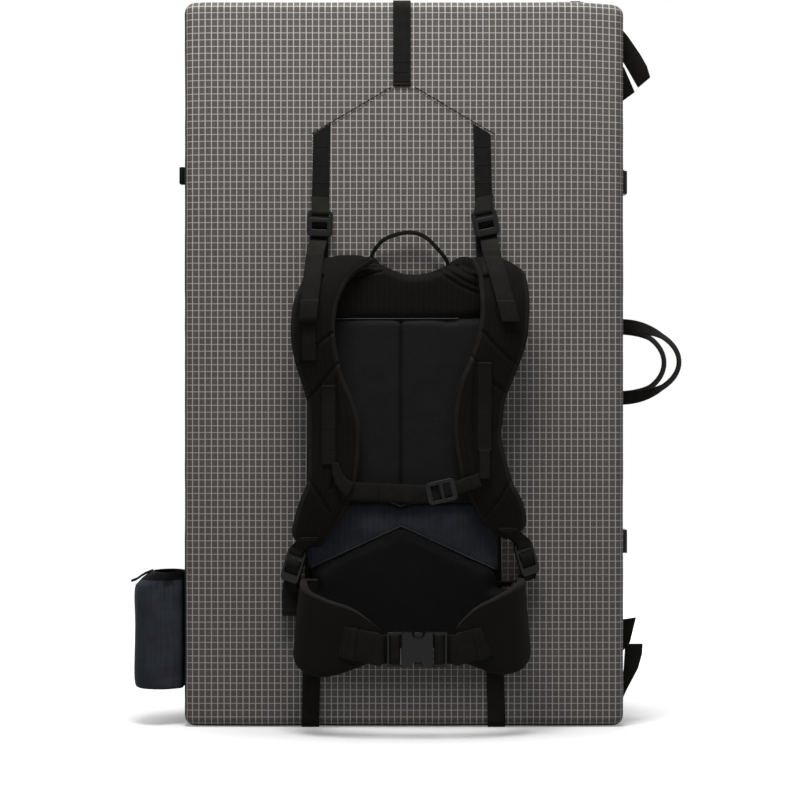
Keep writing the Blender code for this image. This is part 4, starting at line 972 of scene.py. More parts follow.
wrap_front = lock_thickness / 2 + lock_play + web_thickness + 0.0002
for name, matrix in turned_locks.items():
    shape = copy_of(f"{name}_lock")
    shape.transform(locks[name].inverted())
    through = [e for e in shape.edges if abs(e.verts[0].co.y - e.verts[1].co.y) > lock_thickness / 2]
    outer = [e for e in through if abs(e.verts[0].co.x) > lock_width / 2 - 0.001]
    inner = [e for e in through if e not in outer]
    bmesh.ops.bevel(
        shape, geom=outer, offset=0.0055, segments=5, profile=0.5, material=-1, affect="EDGES"
    )
    inner = [e for e in inner if e.is_valid]
    bmesh.ops.bevel(
        shape, geom=inner, offset=0.0016, segments=3, profile=0.5, material=-1, affect="EDGES"
    )
    half = Vector((lock_width / 2 - 0.003, lock_thickness / 2 - 0.0002, 0.0014))
    centre = Vector((0, 0, lock_bar / 2 + lock_upper_window / 2 + 0.0002))
    box(shape, centre - half, centre + half)
    edged(shape, 0.0012, segments=3, least_angle=60)
    if "lifter" in name:
        window_frame(
            shape, (-0.0170, -0.0108, 0.0108, 0.0170), (-0.0208, -0.0112, -0.0012, 0.0052),
            -wrap_front - 0.0018, -wrap_front,
        )
        for way in (-1, 1):
            side = sorted((way * 0.0139, way * 0.0166))
            cheek = bmesh.new()
            box(cheek, (side[0], -wrap_front - 0.0006, -0.0185), (side[1], -0.0010, 0.0040))
            edged(cheek, 0.0006)
            mesh = bpy.data.meshes.new("cheek")
            cheek.to_mesh(mesh)
            cheek.free()
            shape.from_mesh(mesh)
            bpy.data.meshes.remove(mesh)
    shape.transform(matrix)
    lock = piece(f"{name}_ladder_lock", shape, acetal)
    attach(lock, name.replace("_strap", "_lower"))
    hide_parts(f"{name}_lock")

# The back pads: foam cushions sewn to the panel. The upper one is in brown ripstop with an ear
# under each strap's root, the centre one in a smooth charcoal knit with a stitched channel, the
# low yoke in navy ripstop, and the lumbar one in smooth black cloth. Each is stuffed as cloth.


def swell(made, voxel, pressure, cap, back, regrow):
    """Stuffs a piece as cloth: its net is evened out, then blown up. Its face goes no further
    than the cap or behind what it is sewn to, and its outline grows back to its seam."""
    remesh = made.modifiers.new("even_net", "REMESH")
    remesh.mode, remesh.voxel_size = "VOXEL", voxel
    apply_modifiers(made)
    shape = bmesh.new()
    shape.from_mesh(made.data)
    for _ in range(2):
        bmesh.ops.smooth_vert(
            shape, verts=shape.verts, factor=0.5, use_axis_x=True, use_axis_y=True, use_axis_z=True
        )
    shape.to_mesh(made.data)
    shape.free()
    rest = [v.co.copy() for v in made.data.vertices]
    cloth = made.modifiers.new("stuffed", "CLOTH")
    cloth.settings.quality = 6
    cloth.settings.tension_stiffness = cloth.settings.compression_stiffness = 20
    cloth.settings.use_pressure = True
    cloth.settings.uniform_pressure_force = pressure
    cloth.settings.effector_weights.gravity = 0
    cloth.point_cache.frame_start, cloth.point_cache.frame_end = 1, 20
    for number in range(1, 21):
        bpy.context.scene.frame_set(number)
    apply_modifiers(made)
    bpy.context.scene.frame_set(1)
    swollen = [(v, v.co.copy(), v.normal.copy()) for v in made.data.vertices]
    for (vert, spot, normal), start in zip(swollen, rest):
        rise = max(-cap, min(cap, spot.y - start.y))
        aside = Vector((normal.x, 0, normal.z)) * regrow
        vert.co = start + aside + Vector((0, rise, 0))
        vert.co.y = min(vert.co.y, back)
    return made


def finer(made, levels=1):
    """One more division of the piece's net, applied."""
    divide = made.modifiers.new("finer", "SUBSURF")
    divide.levels = divide.render_levels = levels
    apply_modifiers(made)
    made.data.polygons.foreach_set("use_smooth", [True] * len(made.data.polygons))
    return made


def press_seam(made, line, width, depth):
    """Draws the cloth in along a sewn line, given as points in X and Z, on the front side."""
    spans = [(Vector(a), Vector(b)) for a, b in zip(line, line[1:])]
    facing = [v for v in made.data.vertices if v.normal.y < -0.2]
    for vert in facing:
        spot = Vector((vert.co.x, vert.co.z))
        nearest = 1.0
        for a, b in spans:
            run = b - a
            t = max(0.0, min(1.0, (spot - a).dot(run) / run.length_squared))
            nearest = min(nearest, (spot - a - run * t).length)
        if nearest < 3 * width:
            vert.co.y += depth * math.exp(-((nearest / width) ** 2))


def lay_front(made):
    """UVs in metres from the front of a finished piece."""
    layer = made.data.uv_layers.get("UVMap") or made.data.uv_layers.new(name="UVMap")
    for loop in made.data.loops:
        spot = made.data.vertices[loop.vertex_index].co
        layer.data[loop.index].uv = (spot.x, spot.z)


def slab(shape, corners, low, high):
    """A flat slab between two depths, its outline given as shares of the harness."""
    face = shape.faces.new([shape.verts.new(place(*corner, high)) for corner in corners])
    grown = bmesh.ops.extrude_face_region(shape, geom=[face])["geom"]
    moved = [v for v in grown if isinstance(v, bmesh.types.BMVert)]
    bmesh.ops.translate(shape, verts=moved, vec=out * (low - high))
    bmesh.ops.recalc_face_normals(shape, faces=shape.faces)


def welt(shape, line, radius, index):
    """A thin round welt along a line of points."""
    ring = [(math.cos(math.tau * k / 8), math.sin(math.tau * k / 8)) for k in range(8)]
    stations = []
    for k, point in enumerate(line):
        run = (line[min(k + 1, len(line) - 1)] - line[max(k - 1, 0)]).normalized()
        side = run.cross(out).normalized()
        stations.append((point, side * radius, side.cross(run).normalized() * radius))
    pull_along(shape, ring, stations, index)


# Charcoal spacer knit: a smooth face with a fine net of loops 1.8 mm apart, soft and dull
knit, tree, shader = new_material(
    "charcoal_spacer_knit", Roughness=0.82, Specular_IOR_Level=0.05
)
laid = add(tree, "ShaderNodeUVMap", uv_map="UVMap").outputs["UV"]
loops = add(tree, "ShaderNodeTexVoronoi", {"Vector": laid, "Scale": 1 / 0.0018})
cloud = add(tree, "ShaderNodeTexNoise", {"Vector": laid, "Scale": 1 / 0.04, "Detail": 3.0})
shade = add(
    tree, "ShaderNodeMath", {0: loops.outputs["Distance"], 1: 0.6, 2: cloud.outputs["Fac"]},
    operation="MULTIPLY_ADD",
)
colour = add(
    tree, "ShaderNodeMix",
    {0: shade.outputs[0], 6: linear("#1A1A1B"), 7: linear("#262627")}, data_type="RGBA",
)
bump = add(
    tree, "ShaderNodeBump", {"Height": loops.outputs["Distance"], "Distance": 0.0002, "Strength": 0.4}
)
tree.links.new(colour.outputs[2], shader.inputs["Base Color"])
tree.links.new(bump.outputs["Normal"], shader.inputs["Normal"])

# Welt: a thin tape folded over a cord and sewn between two cloths. It catches a soft line of light,
# and its colour is painted lighter than the cloths beside it: a painted highlight along the seam
welt_highlight_tape, tree, shader = new_material(
    "nylon_welt_painted_highlight", Roughness=0.5, Specular_IOR_Level=0.3
)
spot = add(tree, "ShaderNodeTexCoord").outputs["Object"]
cloud = add(tree, "ShaderNodeTexNoise", {"Vector": spot, "Scale": 1 / 0.004, "Detail": 3.0})
colour = add(
    tree, "ShaderNodeMix",
    {0: cloud.outputs["Fac"], 6: linear("#2B2D31"), 7: linear("#3D4046")}, data_type="RGBA",
)
tree.links.new(colour.outputs[2], shader.inputs["Base Color"])

middle_share, welt_radius = -0.005, 0.0007
seam_line = [(place(middle_share, 0, 0).x, place(0, z, 0).z) for z in (0.378, 0.862)]
upper_ears = (
    ((-0.335, 0.880), (-0.335, 0.955), (-0.250, 0.985), (-0.150, 0.992), (-0.128, 0.972), (-0.170, 0.930)),
    (
        (0.165, 0.925), (0.180, 0.950), (0.215, 0.962), (0.250, 0.972), (0.290, 0.985), (0.345, 0.992),
        (0.410, 0.975), (0.420, 0.900), (0.400, 0.860),
    ),
)
centre_ears = (((0.300, 0.838), (0.345, 0.848), (0.398, 0.866), (0.425, 0.845), (0.400, 0.800)),)
lumbar_ears = (
    ((-0.465, 0.205), (-0.474, 0.243), (-0.385, 0.262), (-0.385, 0.190)),
    ((0.385, 0.190), (0.385, 0.262), (0.478, 0.241), (0.495, 0.222), (0.490, 0.190)),
)
lumbar_foot = 0.1185
root_folds = (
    ((-0.300, 0.930), (-0.279, 0.9363), (-0.1885, 0.950), (-0.104, 0.9565)),
    ((-0.250, 0.956), (-0.190, 0.966), (-0.130, 0.968)),
    ((0.175, 0.9575), (0.193, 0.956), (0.308, 0.9228), (0.405, 0.9038)),
    ((0.230, 0.962), (0.330, 0.934), (0.400, 0.921)),
    ((0.285, 0.972), (0.340, 0.952), (0.400, 0.942)),
)
for node, name, cloth, ears in (
    ("upper_back_pad", "upper_back_cushion", ripstop["brown"], upper_ears),
    ("centre_back_pad", "centre_back_cushion", knit, centre_ears),
    ("yoke_panel", "navy_yoke", ripstop["navy"], ()),
    ("lumbar_pad", "lumbar_cushion", ripstop["black"], lumbar_ears),
):
    low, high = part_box(node)
    shape = copy_of(node)
    for vert in shape.verts:
        if node == "lumbar_pad":
            vert.co.z = max(vert.co.z, lumbar_foot)
        if node == "upper_back_pad" and vert.co.z < low.z + 0.004:
            vert.co.z -= 0.0022
    for corners in ears:
        slab(shape, corners, front_face - high.y, front_face - (low.y + high.y) / 2)
    pad = piece(name, shape, [cloth, thread_black, welt_highlight_tape])
    thin = node == "yoke_panel"
    swell(
        pad, voxel=0.0035 if thin else 0.0042, pressure=4, cap=0.0015 if thin else 0.0035,
        back=high.y, regrow=0.0022 if thin else 0.0030,
    )
    finer(pad)
    if cloth == knit:
        press_seam(pad, seam_line, 0.0022, 0.0045)
    if node == "upper_back_pad":
        for fold in root_folds:
            spots = [place(*share, 0) for share in fold]
            press_seam(pad, [(p.x, p.z) for p in spots], 0.0017, 0.0034)
    lay_front(pad)
    shape = bmesh.new()
    front = low.y - 0.0004
    if cloth == knit:
        ends = [Vector((x, low.y + 0.0006, z)) for x, z in seam_line]
        stitches(shape, ends, out, length=0.0034, gap=0.0018, width=0.0016)
        # The welts on the top edge and round the notch are lighter tape: a painted highlight on the edge
        rim = [(-0.364, 0.8425), (-0.2, 0.8428), (0.0, 0.8428), (0.2, 0.8430), (0.300, 0.8432)]
        line = [place(x, z + 0.0015, front_face - front - 0.0006) for x, z in rim]
        welt(shape, flowing(line, 4), welt_radius, 2)
        notch = [(-0.066, 0.408), (-0.036, 0.4045), (middle_share, 0.3965), (0.020, 0.4040), (0.048, 0.407)]
        welt(shape, [place(x, z, front_face - front - 0.0040) for x, z in notch], welt_radius, 2)
    if thin:
        # The chevron's welt is the same lighter tape: a painted highlight along the seam
        chevron = [(-0.478, 0.2535), (-0.274, 0.2945), (middle_share, 0.3505)]
        chevron += [(0.253, 0.2968), (0.490, 0.2485)]
        line = [place(x, z, front_face - front + 0.0015) for x, z in chevron]
        for a, b in zip(line, line[1:]):
            welt(shape, [a, b], 0.0009, 2)
    shape.from_mesh(pad.data)
    shape.to_mesh(pad.data)
    shape.free()
    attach(pad, "front_half")
    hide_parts(node)

# The shoulder straps: foam pads in brown ripstop, 16 mm thick, that widen over the shoulders and
# taper to the lower buckles. Their rolled edges are given a lighter cloth, a painted sheen where
# the edge turns to the light, and slanting seams cross them. Each ends in the sewn loop that holds
# its lower ladder-lock.

strap_thickness, strap_base, strap_stand_off = 0.016, 0.0342, 0.024
strap_rows = {
    "left": (
        (0.994, -0.345, -0.225, -0.06), (0.982, -0.415, -0.145, 0.00), (0.958, -0.479, -0.222, 0.33),
        (0.934, -0.520, -0.278, 0.58), (0.886, -0.566, -0.330, 0.91), (0.839, -0.581, -0.348, 1.00),
        (0.792, -0.581, -0.348, 0.96), (0.745, -0.564, -0.330, 0.79), (0.698, -0.533, -0.302, 0.62),
        (0.651, -0.502, -0.255, 0.45), (0.603, -0.499, -0.223, 0.37), (0.556, -0.500, -0.216, 0.30),
        (0.461, -0.500, -0.237, 0.25), (0.413, -0.538, -0.269, 0.12), (0.365, -0.571, -0.322, -0.08),
        (0.329, -0.579, -0.376, -0.20), (0.300, -0.524, -0.434, -0.28),
    ),
    "right": (
        (0.990, 0.380, 0.450, -0.06), (0.980, 0.370, 0.545, 0.00), (0.958, 0.388, 0.630, 0.33),
        (0.934, 0.402, 0.656, 0.58), (0.886, 0.411, 0.668, 0.91), (0.839, 0.408, 0.665, 1.00),
        (0.792, 0.388, 0.655, 0.96), (0.745, 0.351, 0.624, 0.79), (0.698, 0.307, 0.583, 0.62),
        (0.651, 0.284, 0.544, 0.45), (0.603, 0.271, 0.531, 0.37), (0.556, 0.276, 0.526, 0.30),
        (0.461, 0.311, 0.580, 0.25), (0.413, 0.359, 0.634, 0.12), (0.365, 0.418, 0.658, -0.08),
        (0.341, 0.471, 0.635, -0.16), (0.322, 0.535, 0.575, -0.24),
    ),
}
strap_seams = {
    "left": (
        ((-0.365, 0.808), (-0.455, 0.778), (-0.500, 0.748), (-0.575, 0.722)),
        ((-0.325, 0.741), (-0.380, 0.715), (-0.450, 0.672), (-0.515, 0.644)),
        ((-0.345, 0.700), (-0.335, 0.600), (-0.335, 0.500), (-0.375, 0.440)),
        ((-0.500, 0.470), (-0.440, 0.430), (-0.380, 0.385)),
    ),
    "right": (
        ((0.325, 0.776), (0.400, 0.736), (0.470, 0.692), (0.560, 0.664)),
        ((0.425, 0.812), (0.490, 0.778), (0.560, 0.748), (0.625, 0.728)),
        ((0.385, 0.730), (0.375, 0.640), (0.380, 0.540), (0.400, 0.480)),
        ((0.585, 0.470), (0.520, 0.420), (0.440, 0.375)),
    ),
}
half_section = [
    (-1.0, 0.0), (-0.995, 0.28), (-0.975, 0.44), (-0.93, 0.60), (-0.88, 0.72), (-0.83, 0.77), (-0.79, 0.83),
    (-0.70, 0.91), (-0.52, 0.97), (-0.35, 0.99), (-0.17, 1.0), (0.0, 1.0),
]
half_section += [(-s, u) for s, u in half_section[-2::-1]]
strap_section = half_section + [(s, -0.92 * u) for s, u in half_section[-2:0:-1]]
strap_lines = {}
for hand, rows in strap_rows.items():
    edges = [
        [place(row[side], row[0], strap_base + row[3] * strap_stand_off) for row in rows]
        for side in (1, 2)
    ]
    centres = [(a + b) / 2 for a, b in zip(*edges)]
    halves = [Vector(((b - a).x / 2, 0, 0)) for a, b in zip(*edges)]
    strap_lines[hand] = (flowing(centres, 5), flowing(halves, 5))


def on_strap(hand, x_share, z_share, lift):
    """A point on the front of a strap, lifted off it."""
    spot = place(x_share, z_share, 0)
    line, widths = strap_lines[hand]
    upper, lower = line[0], line[1]
    for k, (a, b) in enumerate(zip(line, line[1:])):
        if a.z >= spot.z >= b.z or k == len(line) - 2:
            upper, lower = a, b
            break
    share = max(0.0, min(1.0, (upper.z - spot.z) / max(1e-6, upper.z - lower.z)))
    y = upper.y + (lower.y - upper.y) * share
    return Vector((spot.x, y - strap_thickness / 2 - lift, spot.z))


loop_shares = {"left": (-0.490, 0.325), "right": (0.556, 0.347)}
for hand, (line, widths) in strap_lines.items():
    stations = []
    for k, (centre, half) in enumerate(zip(line, widths)):
        run = (line[min(k + 1, len(line) - 1)] - line[max(k - 1, 0)]).normalized()
        up = across.cross(run).normalized()
        if up.y > 0:
            up = -up
        end = min(k, len(line) - 1 - k)
        full = 1.0 if end > 4 else 0.60 + 0.40 * end / 5
        stations.append((centre, half, up * strap_thickness / 2 * full))
    # Both edges of the strap take the lighter cloth: painted sheen on the rolled edge
    rims = ((-1.0, -0.83, 3), (0.83, 1.0, 3))
    shape = pull_along(bmesh.new(), strap_section, stations, rims=rims)
    strap_mesh = piece(
        f"{hand}_padded_strap", shape, [ripstop["brown"], thread_black, webbing_cloth, ripstop["edge_sheen"]]
    )
    finer(strap_mesh, levels=2)
    for seam in strap_seams[hand]:
        points = [place(*share, 0) for share in seam]
        press_seam(strap_mesh, [(p.x, p.z) for p in points], 0.0020, 0.0026)
    facing = [v for v in strap_mesh.data.vertices if v.normal.y < -0.2]
    for vert in facing:
        wave = noise.noise(Vector((vert.co.x / 0.05, vert.co.z / 0.035, 4.0)))
        vert.co.y += 0.0007 + 0.0007 * wave
    shape = bmesh.new()
    for edge_share in (-0.80, 0.80):
        seam = []
        for centre, half in list(zip(line, widths))[4:-3]:
            seam.append(centre + half * edge_share + out * strap_thickness / 2 * 0.74)
        stitches(shape, seam, out, length=0.0034)
    matrix = turned_locks[f"{hand}_strap"]
    back_end = on_strap(hand, *loop_shares[hand], web_thickness / 2 + clearance)
    loop = loop_round_bar(matrix, back_end + out * (web_thickness + 2 * lock_play), back_end)
    turned = matrix.to_3x3() @ across
    lay_webbing(shape, loop, [across, *[turned] * (len(loop) - 2), across], material=2)
    bar_tack(
        shape, back_end + out * (1.5 * web_thickness + 2 * lock_play) - upward * 0.003,
        across, out, web_width * 0.9,
    )
    shape.from_mesh(strap_mesh.data)
    shape.to_mesh(strap_mesh.data)
    shape.free()
    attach(strap_mesh, f"{hand}_strap")
    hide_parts(f"{hand}_shoulder_strap")

# Hip belt: two padded wings in plain brown-black pack cloth, stitched to the lumbar pad and
# curving round to the buckle. Their top edges are given a lighter cloth, a painted sheen where the
# edge faces the light.

wing_thickness, belt_root_reach, belt_reach = 0.013, 0.146, 0.125
buckle_length = 0.083
frame_outer_bar, frame_slot, frame_bar = 0.0032, 0.0036, 0.0078
frame_inner_slot, frame_rail = 0.0050, 0.0032
pad_front = 0.0259
buckle_low = place(-0.077, 0.0745, 0)
belt_middle, buckle_z = buckle_low.x + buckle_length / 2, buckle_low.z
buckle_y = front_face - belt_reach
bead = wing_thickness / 2
root_depth = pad_front + clearance + bead
belt_run = belt_root_reach - buckle_length / 2 + frame_outer_bar + frame_slot + frame_bar / 2
belt_rise = belt_reach - root_depth
wing_rows = {
    "left": (
        (0.00, 0.00, 0.228, 0.060), (-0.130, 0.14, 0.230, 0.050), (-0.158, 0.38, 0.221, 0.040),
        (-0.080, 0.64, 0.207, 0.019), (0.180, 0.83, 0.188, 0.006), (0.520, 0.93, 0.1665, 0.027),
        (0.820, 0.97, 0.124, 0.052),
    ),
    "right": (
        (0.00, 0.00, 0.230, 0.058), (-0.035, 0.14, 0.231, 0.050), (-0.044, 0.38, 0.226, 0.042),
        (0.065, 0.64, 0.216, 0.018), (0.300, 0.83, 0.195, 0.0125), (0.560, 0.93, 0.172, 0.031),
        (0.800, 0.97, 0.128, 0.050),
    ),
}
wing_section = [
    (-1.0, 0.0), (-0.995, 0.35), (-0.97, 0.58), (-0.93, 0.74), (-0.88, 0.88), (-0.75, 0.98), (-0.4, 1.0),
    (0.0, 1.0), (0.4, 1.0), (0.75, 0.98), (0.86, 0.90), (0.885, 0.88), (0.905, 0.97), (0.94, 0.98),
    (0.975, 0.80), (0.995, 0.45), (1.0, 0.0),
]
wing_section += [(s, -u) for s, u in wing_section[-2:0:-1]]
wing_lean = (0.0, 0.002, 0.0058, 0.0050, 0.0030, 0.0010, 0.0)
for hand, way in (("left", 1), ("right", -1)):
    root = Vector((belt_middle - way * belt_root_reach, front_face - root_depth, 0))
    rows = wing_rows[hand]
    middles, halves = [], []
    for (x, y, top, foot), lean in zip(rows, wing_lean):
        top, foot = place(0, top, 0).z, place(0, foot, 0).z
        middles.append(root + Vector((way * x * belt_run, -y * belt_rise, (top + foot) / 2)))
        halves.append(Vector((way * lean, 0, (top - foot) / 2)))
    line, sides = flowing(middles, 5), flowing(halves, 5)
    plan = [Vector((p.x, p.y, 0)) for p in line]
    normals = []
    for k in range(len(plan)):
        run = plan[min(k + 1, len(plan) - 1)] - plan[max(k - 1, 0)]
        normals.append(way * run.cross(upward).normalized())
    stations = []
    back = (plan[0] - plan[1]).normalized() * bead
    for turn in (math.radians(a) for a in (84, 62, 40, 20)):
        stations.append((line[0] + back * math.sin(turn), sides[0], normals[0] * bead * math.cos(turn)))
    for k, (centre, half, normal) in enumerate(zip(line, sides, normals)):
        left = len(line) - 1 - k
        full = 1.0 if left > 3 else 0.55 + 0.45 * left / 4
        stations.append((centre, half, normal * bead * full))
    # The wing's top edge takes the lighter cloth: painted sheen on the rolled edge
    shape = pull_along(bmesh.new(), wing_section, stations, rims=((0.885, 1.0, 2),))
    wing = piece(f"{hand}_padded_wing", shape, [ripstop["plain"], thread_black, ripstop["edge_sheen"]])
    finer(wing, levels=2)
    for vert, normal in [(v, v.normal.copy()) for v in wing.data.vertices]:
        wave = noise.noise(Vector((vert.co.x / 0.06, vert.co.y / 0.06, vert.co.z / 0.045)))
        vert.co -= normal * (0.0008 + 0.0008 * wave)
    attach(wing, f"{hand}_wing")
    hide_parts(f"{hand}_hip_wing")

# Slotted webbings on the shoulder straps: 19 mm flat webbing, sewn down with bar tacks so that it
# leaves slots to clip things to. The left strap has a second, short one higher up.

daisy_width = 0.019
for hand, name, x_share, top, foot, tacks in (
    ("left", "left_slotted_webbing", -0.385, 0.686, 0.497, (0.682, 0.585, 0.535, 0.501)),
    ("left", "left_short_webbing", -0.486, 0.850, 0.742, (0.747,)),
    ("right", "right_slotted_webbing", 0.434, 0.740, 0.530, (0.736, 0.620, 0.534)),
):
    heights = [top + (foot - top) * k / 14 for k in range(15)]
    path = [on_strap(hand, x_share, z, web_lift) for z in heights]
    shape = lay_webbing(bmesh.new(), path, across, width=daisy_width)
    for z in tacks:
        spot = on_strap(hand, x_share, z, web_lift + web_thickness / 2)
        bar_tack(shape, spot, across, out, daisy_width * 0.9)
    daisy = piece(name, shape, [webbing_cloth, thread_black])
    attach(daisy, f"{hand}_strap")
    if "short" not in name:
        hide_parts(f"{hand}_daisy_webbing")

# The load lifters and the lower webbings. Each is sewn down at one end, goes up behind its
# ladder-lock, over the middle bar and out past the grip, and hangs on as a tail with its end
# folded over and stitched.

wrap_off = lock_thickness / 2 + lock_play + web_thickness / 2
wrap_over = lock_bar / 2 + lock_play + web_thickness / 2
load_strip_off = wrap_off + web_thickness + 6 * lock_play


def lock_wrap(matrix):
    """The webbing's way through a ladder-lock, from the load side to the tail."""
    half = lock_thickness / 2
    points = (
        (lock_low - lock_bar, -load_strip_off), (window_low - wrap_off, -load_strip_off),
        (lock_bar / 2, -wrap_off), (wrap_over, -half), (wrap_over, half), (lock_bar / 2, wrap_off),
        (-lock_bar / 2, wrap_off), (-wrap_over, half), (window_low + wrap_off - half, -half),
        (window_low, -wrap_off), (lock_low - lock_bar / 2, -wrap_off - lock_play),
    )
    return [matrix @ Vector((0, -depth, height)) for height, depth in points]


def laced(name, load, matrix, tail, hem):
    """A webbing laced through a ladder-lock, with its end folded over for the hem's length."""
    wrap = lock_wrap(matrix)
    turned = matrix.to_3x3() @ across
    path = [*load, *wrap, *tail]
    sides = [across] * len(load) + [turned] * len(wrap) + [across] * len(tail)
    shape = lay_webbing(bmesh.new(), path, sides)
    folded, left = [tail[-1]], hem
    for point in tail[-2::-1]:
        span = point - folded[-1]
        if span.length >= left:
            folded.append(folded[-1] + span.normalized() * left)
            break
        folded.append(point)
        left -= span.length
    lift = out * web_thickness * 0.95
    lay_webbing(shape, [p + lift for p in folded], across, thickness=web_thickness * 0.9)
    spot = folded[-1] + lift * 1.45 - (folded[-1] - folded[-2]).normalized() * 0.003
    bar_tack(shape, spot, across, out, web_width * 0.9, 0.0012)
    strip = piece(name, shape, [webbing_cloth, thread_black])
    return strip


tail_lift = 3 * web_thickness + web_lift
for hand, near, far in (("left", -0.455, -0.493), ("right", 0.470, 0.569)):
    load = [on_strap(hand, near, z, web_lift) for z in (0.945, 0.955, 0.965, 0.975, 0.985, 1.000)]
    steps = [k / 16 for k in range(17)]
    tail = [
        on_strap(hand, near + (far - near) * k, 1.004 - (1.004 - 0.834) * k, tail_lift) for k in steps
    ]
    matrix = locks[f"{hand}_lifter"]
    lifter = laced(f"{hand}_load_lifter", load, matrix, tail, 0.032)
    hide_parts(f"{hand}_lifter_webbing")
    spot = matrix.translation
    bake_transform(lifter)

web_front = panel_front + clearance + web_thickness
for hand, anchor, ends, hem in (
    ("left", ((-0.510, 0.205), (-0.520, 0.215)), ((-0.590, 0.190), (-0.588, 0.136)), 0.010),
    ("right", ((0.530, 0.205), (0.545, 0.215)), ((0.662, 0.232), (0.662, 0.224)), 0.004),
):
    matrix = turned_locks[f"{hand}_strap"]
    load = [place(*share, web_front + web_lift) for share in anchor]
    tail = [place(*share, web_front + 6 * web_thickness) for share in ends]
    lower = laced(f"{hand}_lower_adjuster", load, matrix, tail, hem)
    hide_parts(f"{hand}_lower_webbing")
    spot = matrix.translation
    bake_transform(lower)

# The chest strap: 25 mm webbing sewn to the left strap, laced through a flat moulded frame, its
# hook. That goes in a loop on the right strap, and an elastic keeper holds the spare webbing.

chest_z, chest_left_share, hook_left_share = 0.437, -0.400, 0.137
hook_length, hook_thickness, hook_bar, hook_slot = 0.043, 0.003, 0.004, 0.0045
chest_top = chest_z + web_width / 2 / harness_height
chest_depth = front_face - on_strap("left", chest_left_share, chest_top, clearance).y
chest_middle = chest_depth + web_thickness / 2
hook_left = place(hook_left_share, chest_z, chest_middle)
hook_right = hook_left + across * hook_length
hook_half = hook_thickness / 2
hook_wrap = hook_half + lock_play + web_thickness / 2
bar_turn = web_thickness / 2 + lock_play
over_itself = out * (web_thickness + 2 * lock_play)
anchor = place(-0.318, 0.4366, chest_depth) + out * web_thickness / 2
sunk_left = place(hook_left_share, 0.4275, chest_middle)
sag = Matrix.Rotation(math.radians(-13), 4, "Y")
sag = Matrix.Translation(sunk_left) @ sag @ Matrix.Translation(-hook_left)
slack = (sunk_left - anchor).normalized()
wrap_reach = 0.0135
path = [anchor, sunk_left - slack * 2 * hook_slot]
path += [
    sag @ (hook_left + out * depth + across * x)
    for x, depth in (
        (hook_slot, -hook_wrap), (wrap_reach, -hook_wrap), (wrap_reach + bar_turn, -hook_half),
        (wrap_reach + bar_turn, hook_half), (wrap_reach, hook_wrap), (hook_slot, hook_wrap),
    )
]
path += [sunk_left - slack * x + over_itself for x in (2 * hook_slot, 0.070)]
tipped = sag.to_3x3() @ upward
shape = lay_webbing(bmesh.new(), path, [upward] * 2 + [tipped] * 6 + [upward] * 2)
bunch = ((-0.350, 0.503), (-0.346, 0.488), (-0.332, 0.469), (-0.306, 0.4505), (-0.266, 0.4385))
path = flowing([place(*share, chest_depth + 2.2 * web_thickness) for share in bunch], 5)
runs = [(b - a).normalized() for a, b in zip(path, path[1:])]
lay_webbing(
    shape, path, [run.cross(out) for run in [*runs, runs[-1]]],
    width=[0.010 + 0.0135 * (k / (len(path) - 1)) ** 1.4 for k in range(len(path))],
)
for k in (9, 14, 19):
    bar_tack(shape, path[k] + out * web_thickness / 2, runs[k].cross(out), out, 0.015, 0.0012)
chest = piece("chest_strap_webbing", shape, [webbing_cloth, thread_black])
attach(chest, "chest_strap")
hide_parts("chest_webbing")

shape = bmesh.new()
hook_front = hook_wrap + web_thickness / 2 + lock_play + 0.0030
window_frame(
    shape, (-0.0015, 0.0056, 0.0182, 0.0226, 0.0335, 0.0405), (-0.0160, -0.0108, 0.0108, 0.0160),
    -hook_front, -hook_front + 0.0026, panes=((1, 1), (3, 1)), turn=0.0058,
)
box(shape, (0.0095, -hook_half, -0.0130), (wrap_reach - 0.0005, hook_half, 0.0130))
for z in (-0.0134, 0.0134):
    box(shape, (0.0010, -hook_front + 0.0010, z - 0.0018), (0.0240, hook_half, z + 0.0018))
shape.transform(sag @ Matrix.Translation(hook_left))
hook = piece("chest_strap_hook", shape, acetal)
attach(hook, "chest_strap")
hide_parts("chest_hook")

shape = copy_of("chest_keeper")
shape.transform(Matrix.Translation((0, 0, -0.0038)))
edged(shape, 0.0003)
lay_flat(shape, 0, 2)
keeper = piece("elastic_keeper", shape, webbing_cloth)
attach(keeper, "keeper")
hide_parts("chest_keeper")

right_anchor, loop_bend = 0.412, 0.340
right_bar = hook_right.x - hook_bar
anchor_depth = front_face - on_strap("right", right_anchor, chest_top, web_lift).y
loop_path = [
    place(right_anchor, 0.4620, anchor_depth), place(loop_bend, 0.4520, anchor_depth),
    *[
        sag @ Vector((right_bar + x, hook_left.y - depth, hook_left.z))
        for x, depth in (
            (2 * hook_bar, -hook_wrap), (0, -hook_wrap), (-bar_turn, -hook_half),
            (-bar_turn, hook_half), (0, hook_wrap), (2 * hook_bar, hook_wrap),
        )
    ],
    place(loop_bend, 0.4520, anchor_depth + 2 * web_thickness),
    place(right_anchor, 0.4620, anchor_depth + web_thickness + clearance),
]
shape = lay_webbing(bmesh.new(), loop_path, tipped, width=web_width * 0.76)
for x in (0.345, 0.362):
    bar_tack(
        shape, place(x, 0.4525 + (x - 0.345) * 0.15, anchor_depth + 2.4 * web_thickness), tipped, out,
        web_width * 0.7, 0.0012,
    )
tunnel = (0.533, 0.515, 0.49, 0.474, 0.465)
tunnel = [place(0.434, z, anchor_depth + 2.4 * web_thickness) for z in tunnel]
lay_webbing(shape, flowing(tunnel, 4), across, width=0.0145)
loop = piece("chest_strap_loop", shape, [webbing_cloth, thread_black])
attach(loop, "right_strap")
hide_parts("chest_loop")

# The grab handle: a webbing folded lengthwise and stitched into a firm narrow strip, which arches
# over the neck of the back pad.

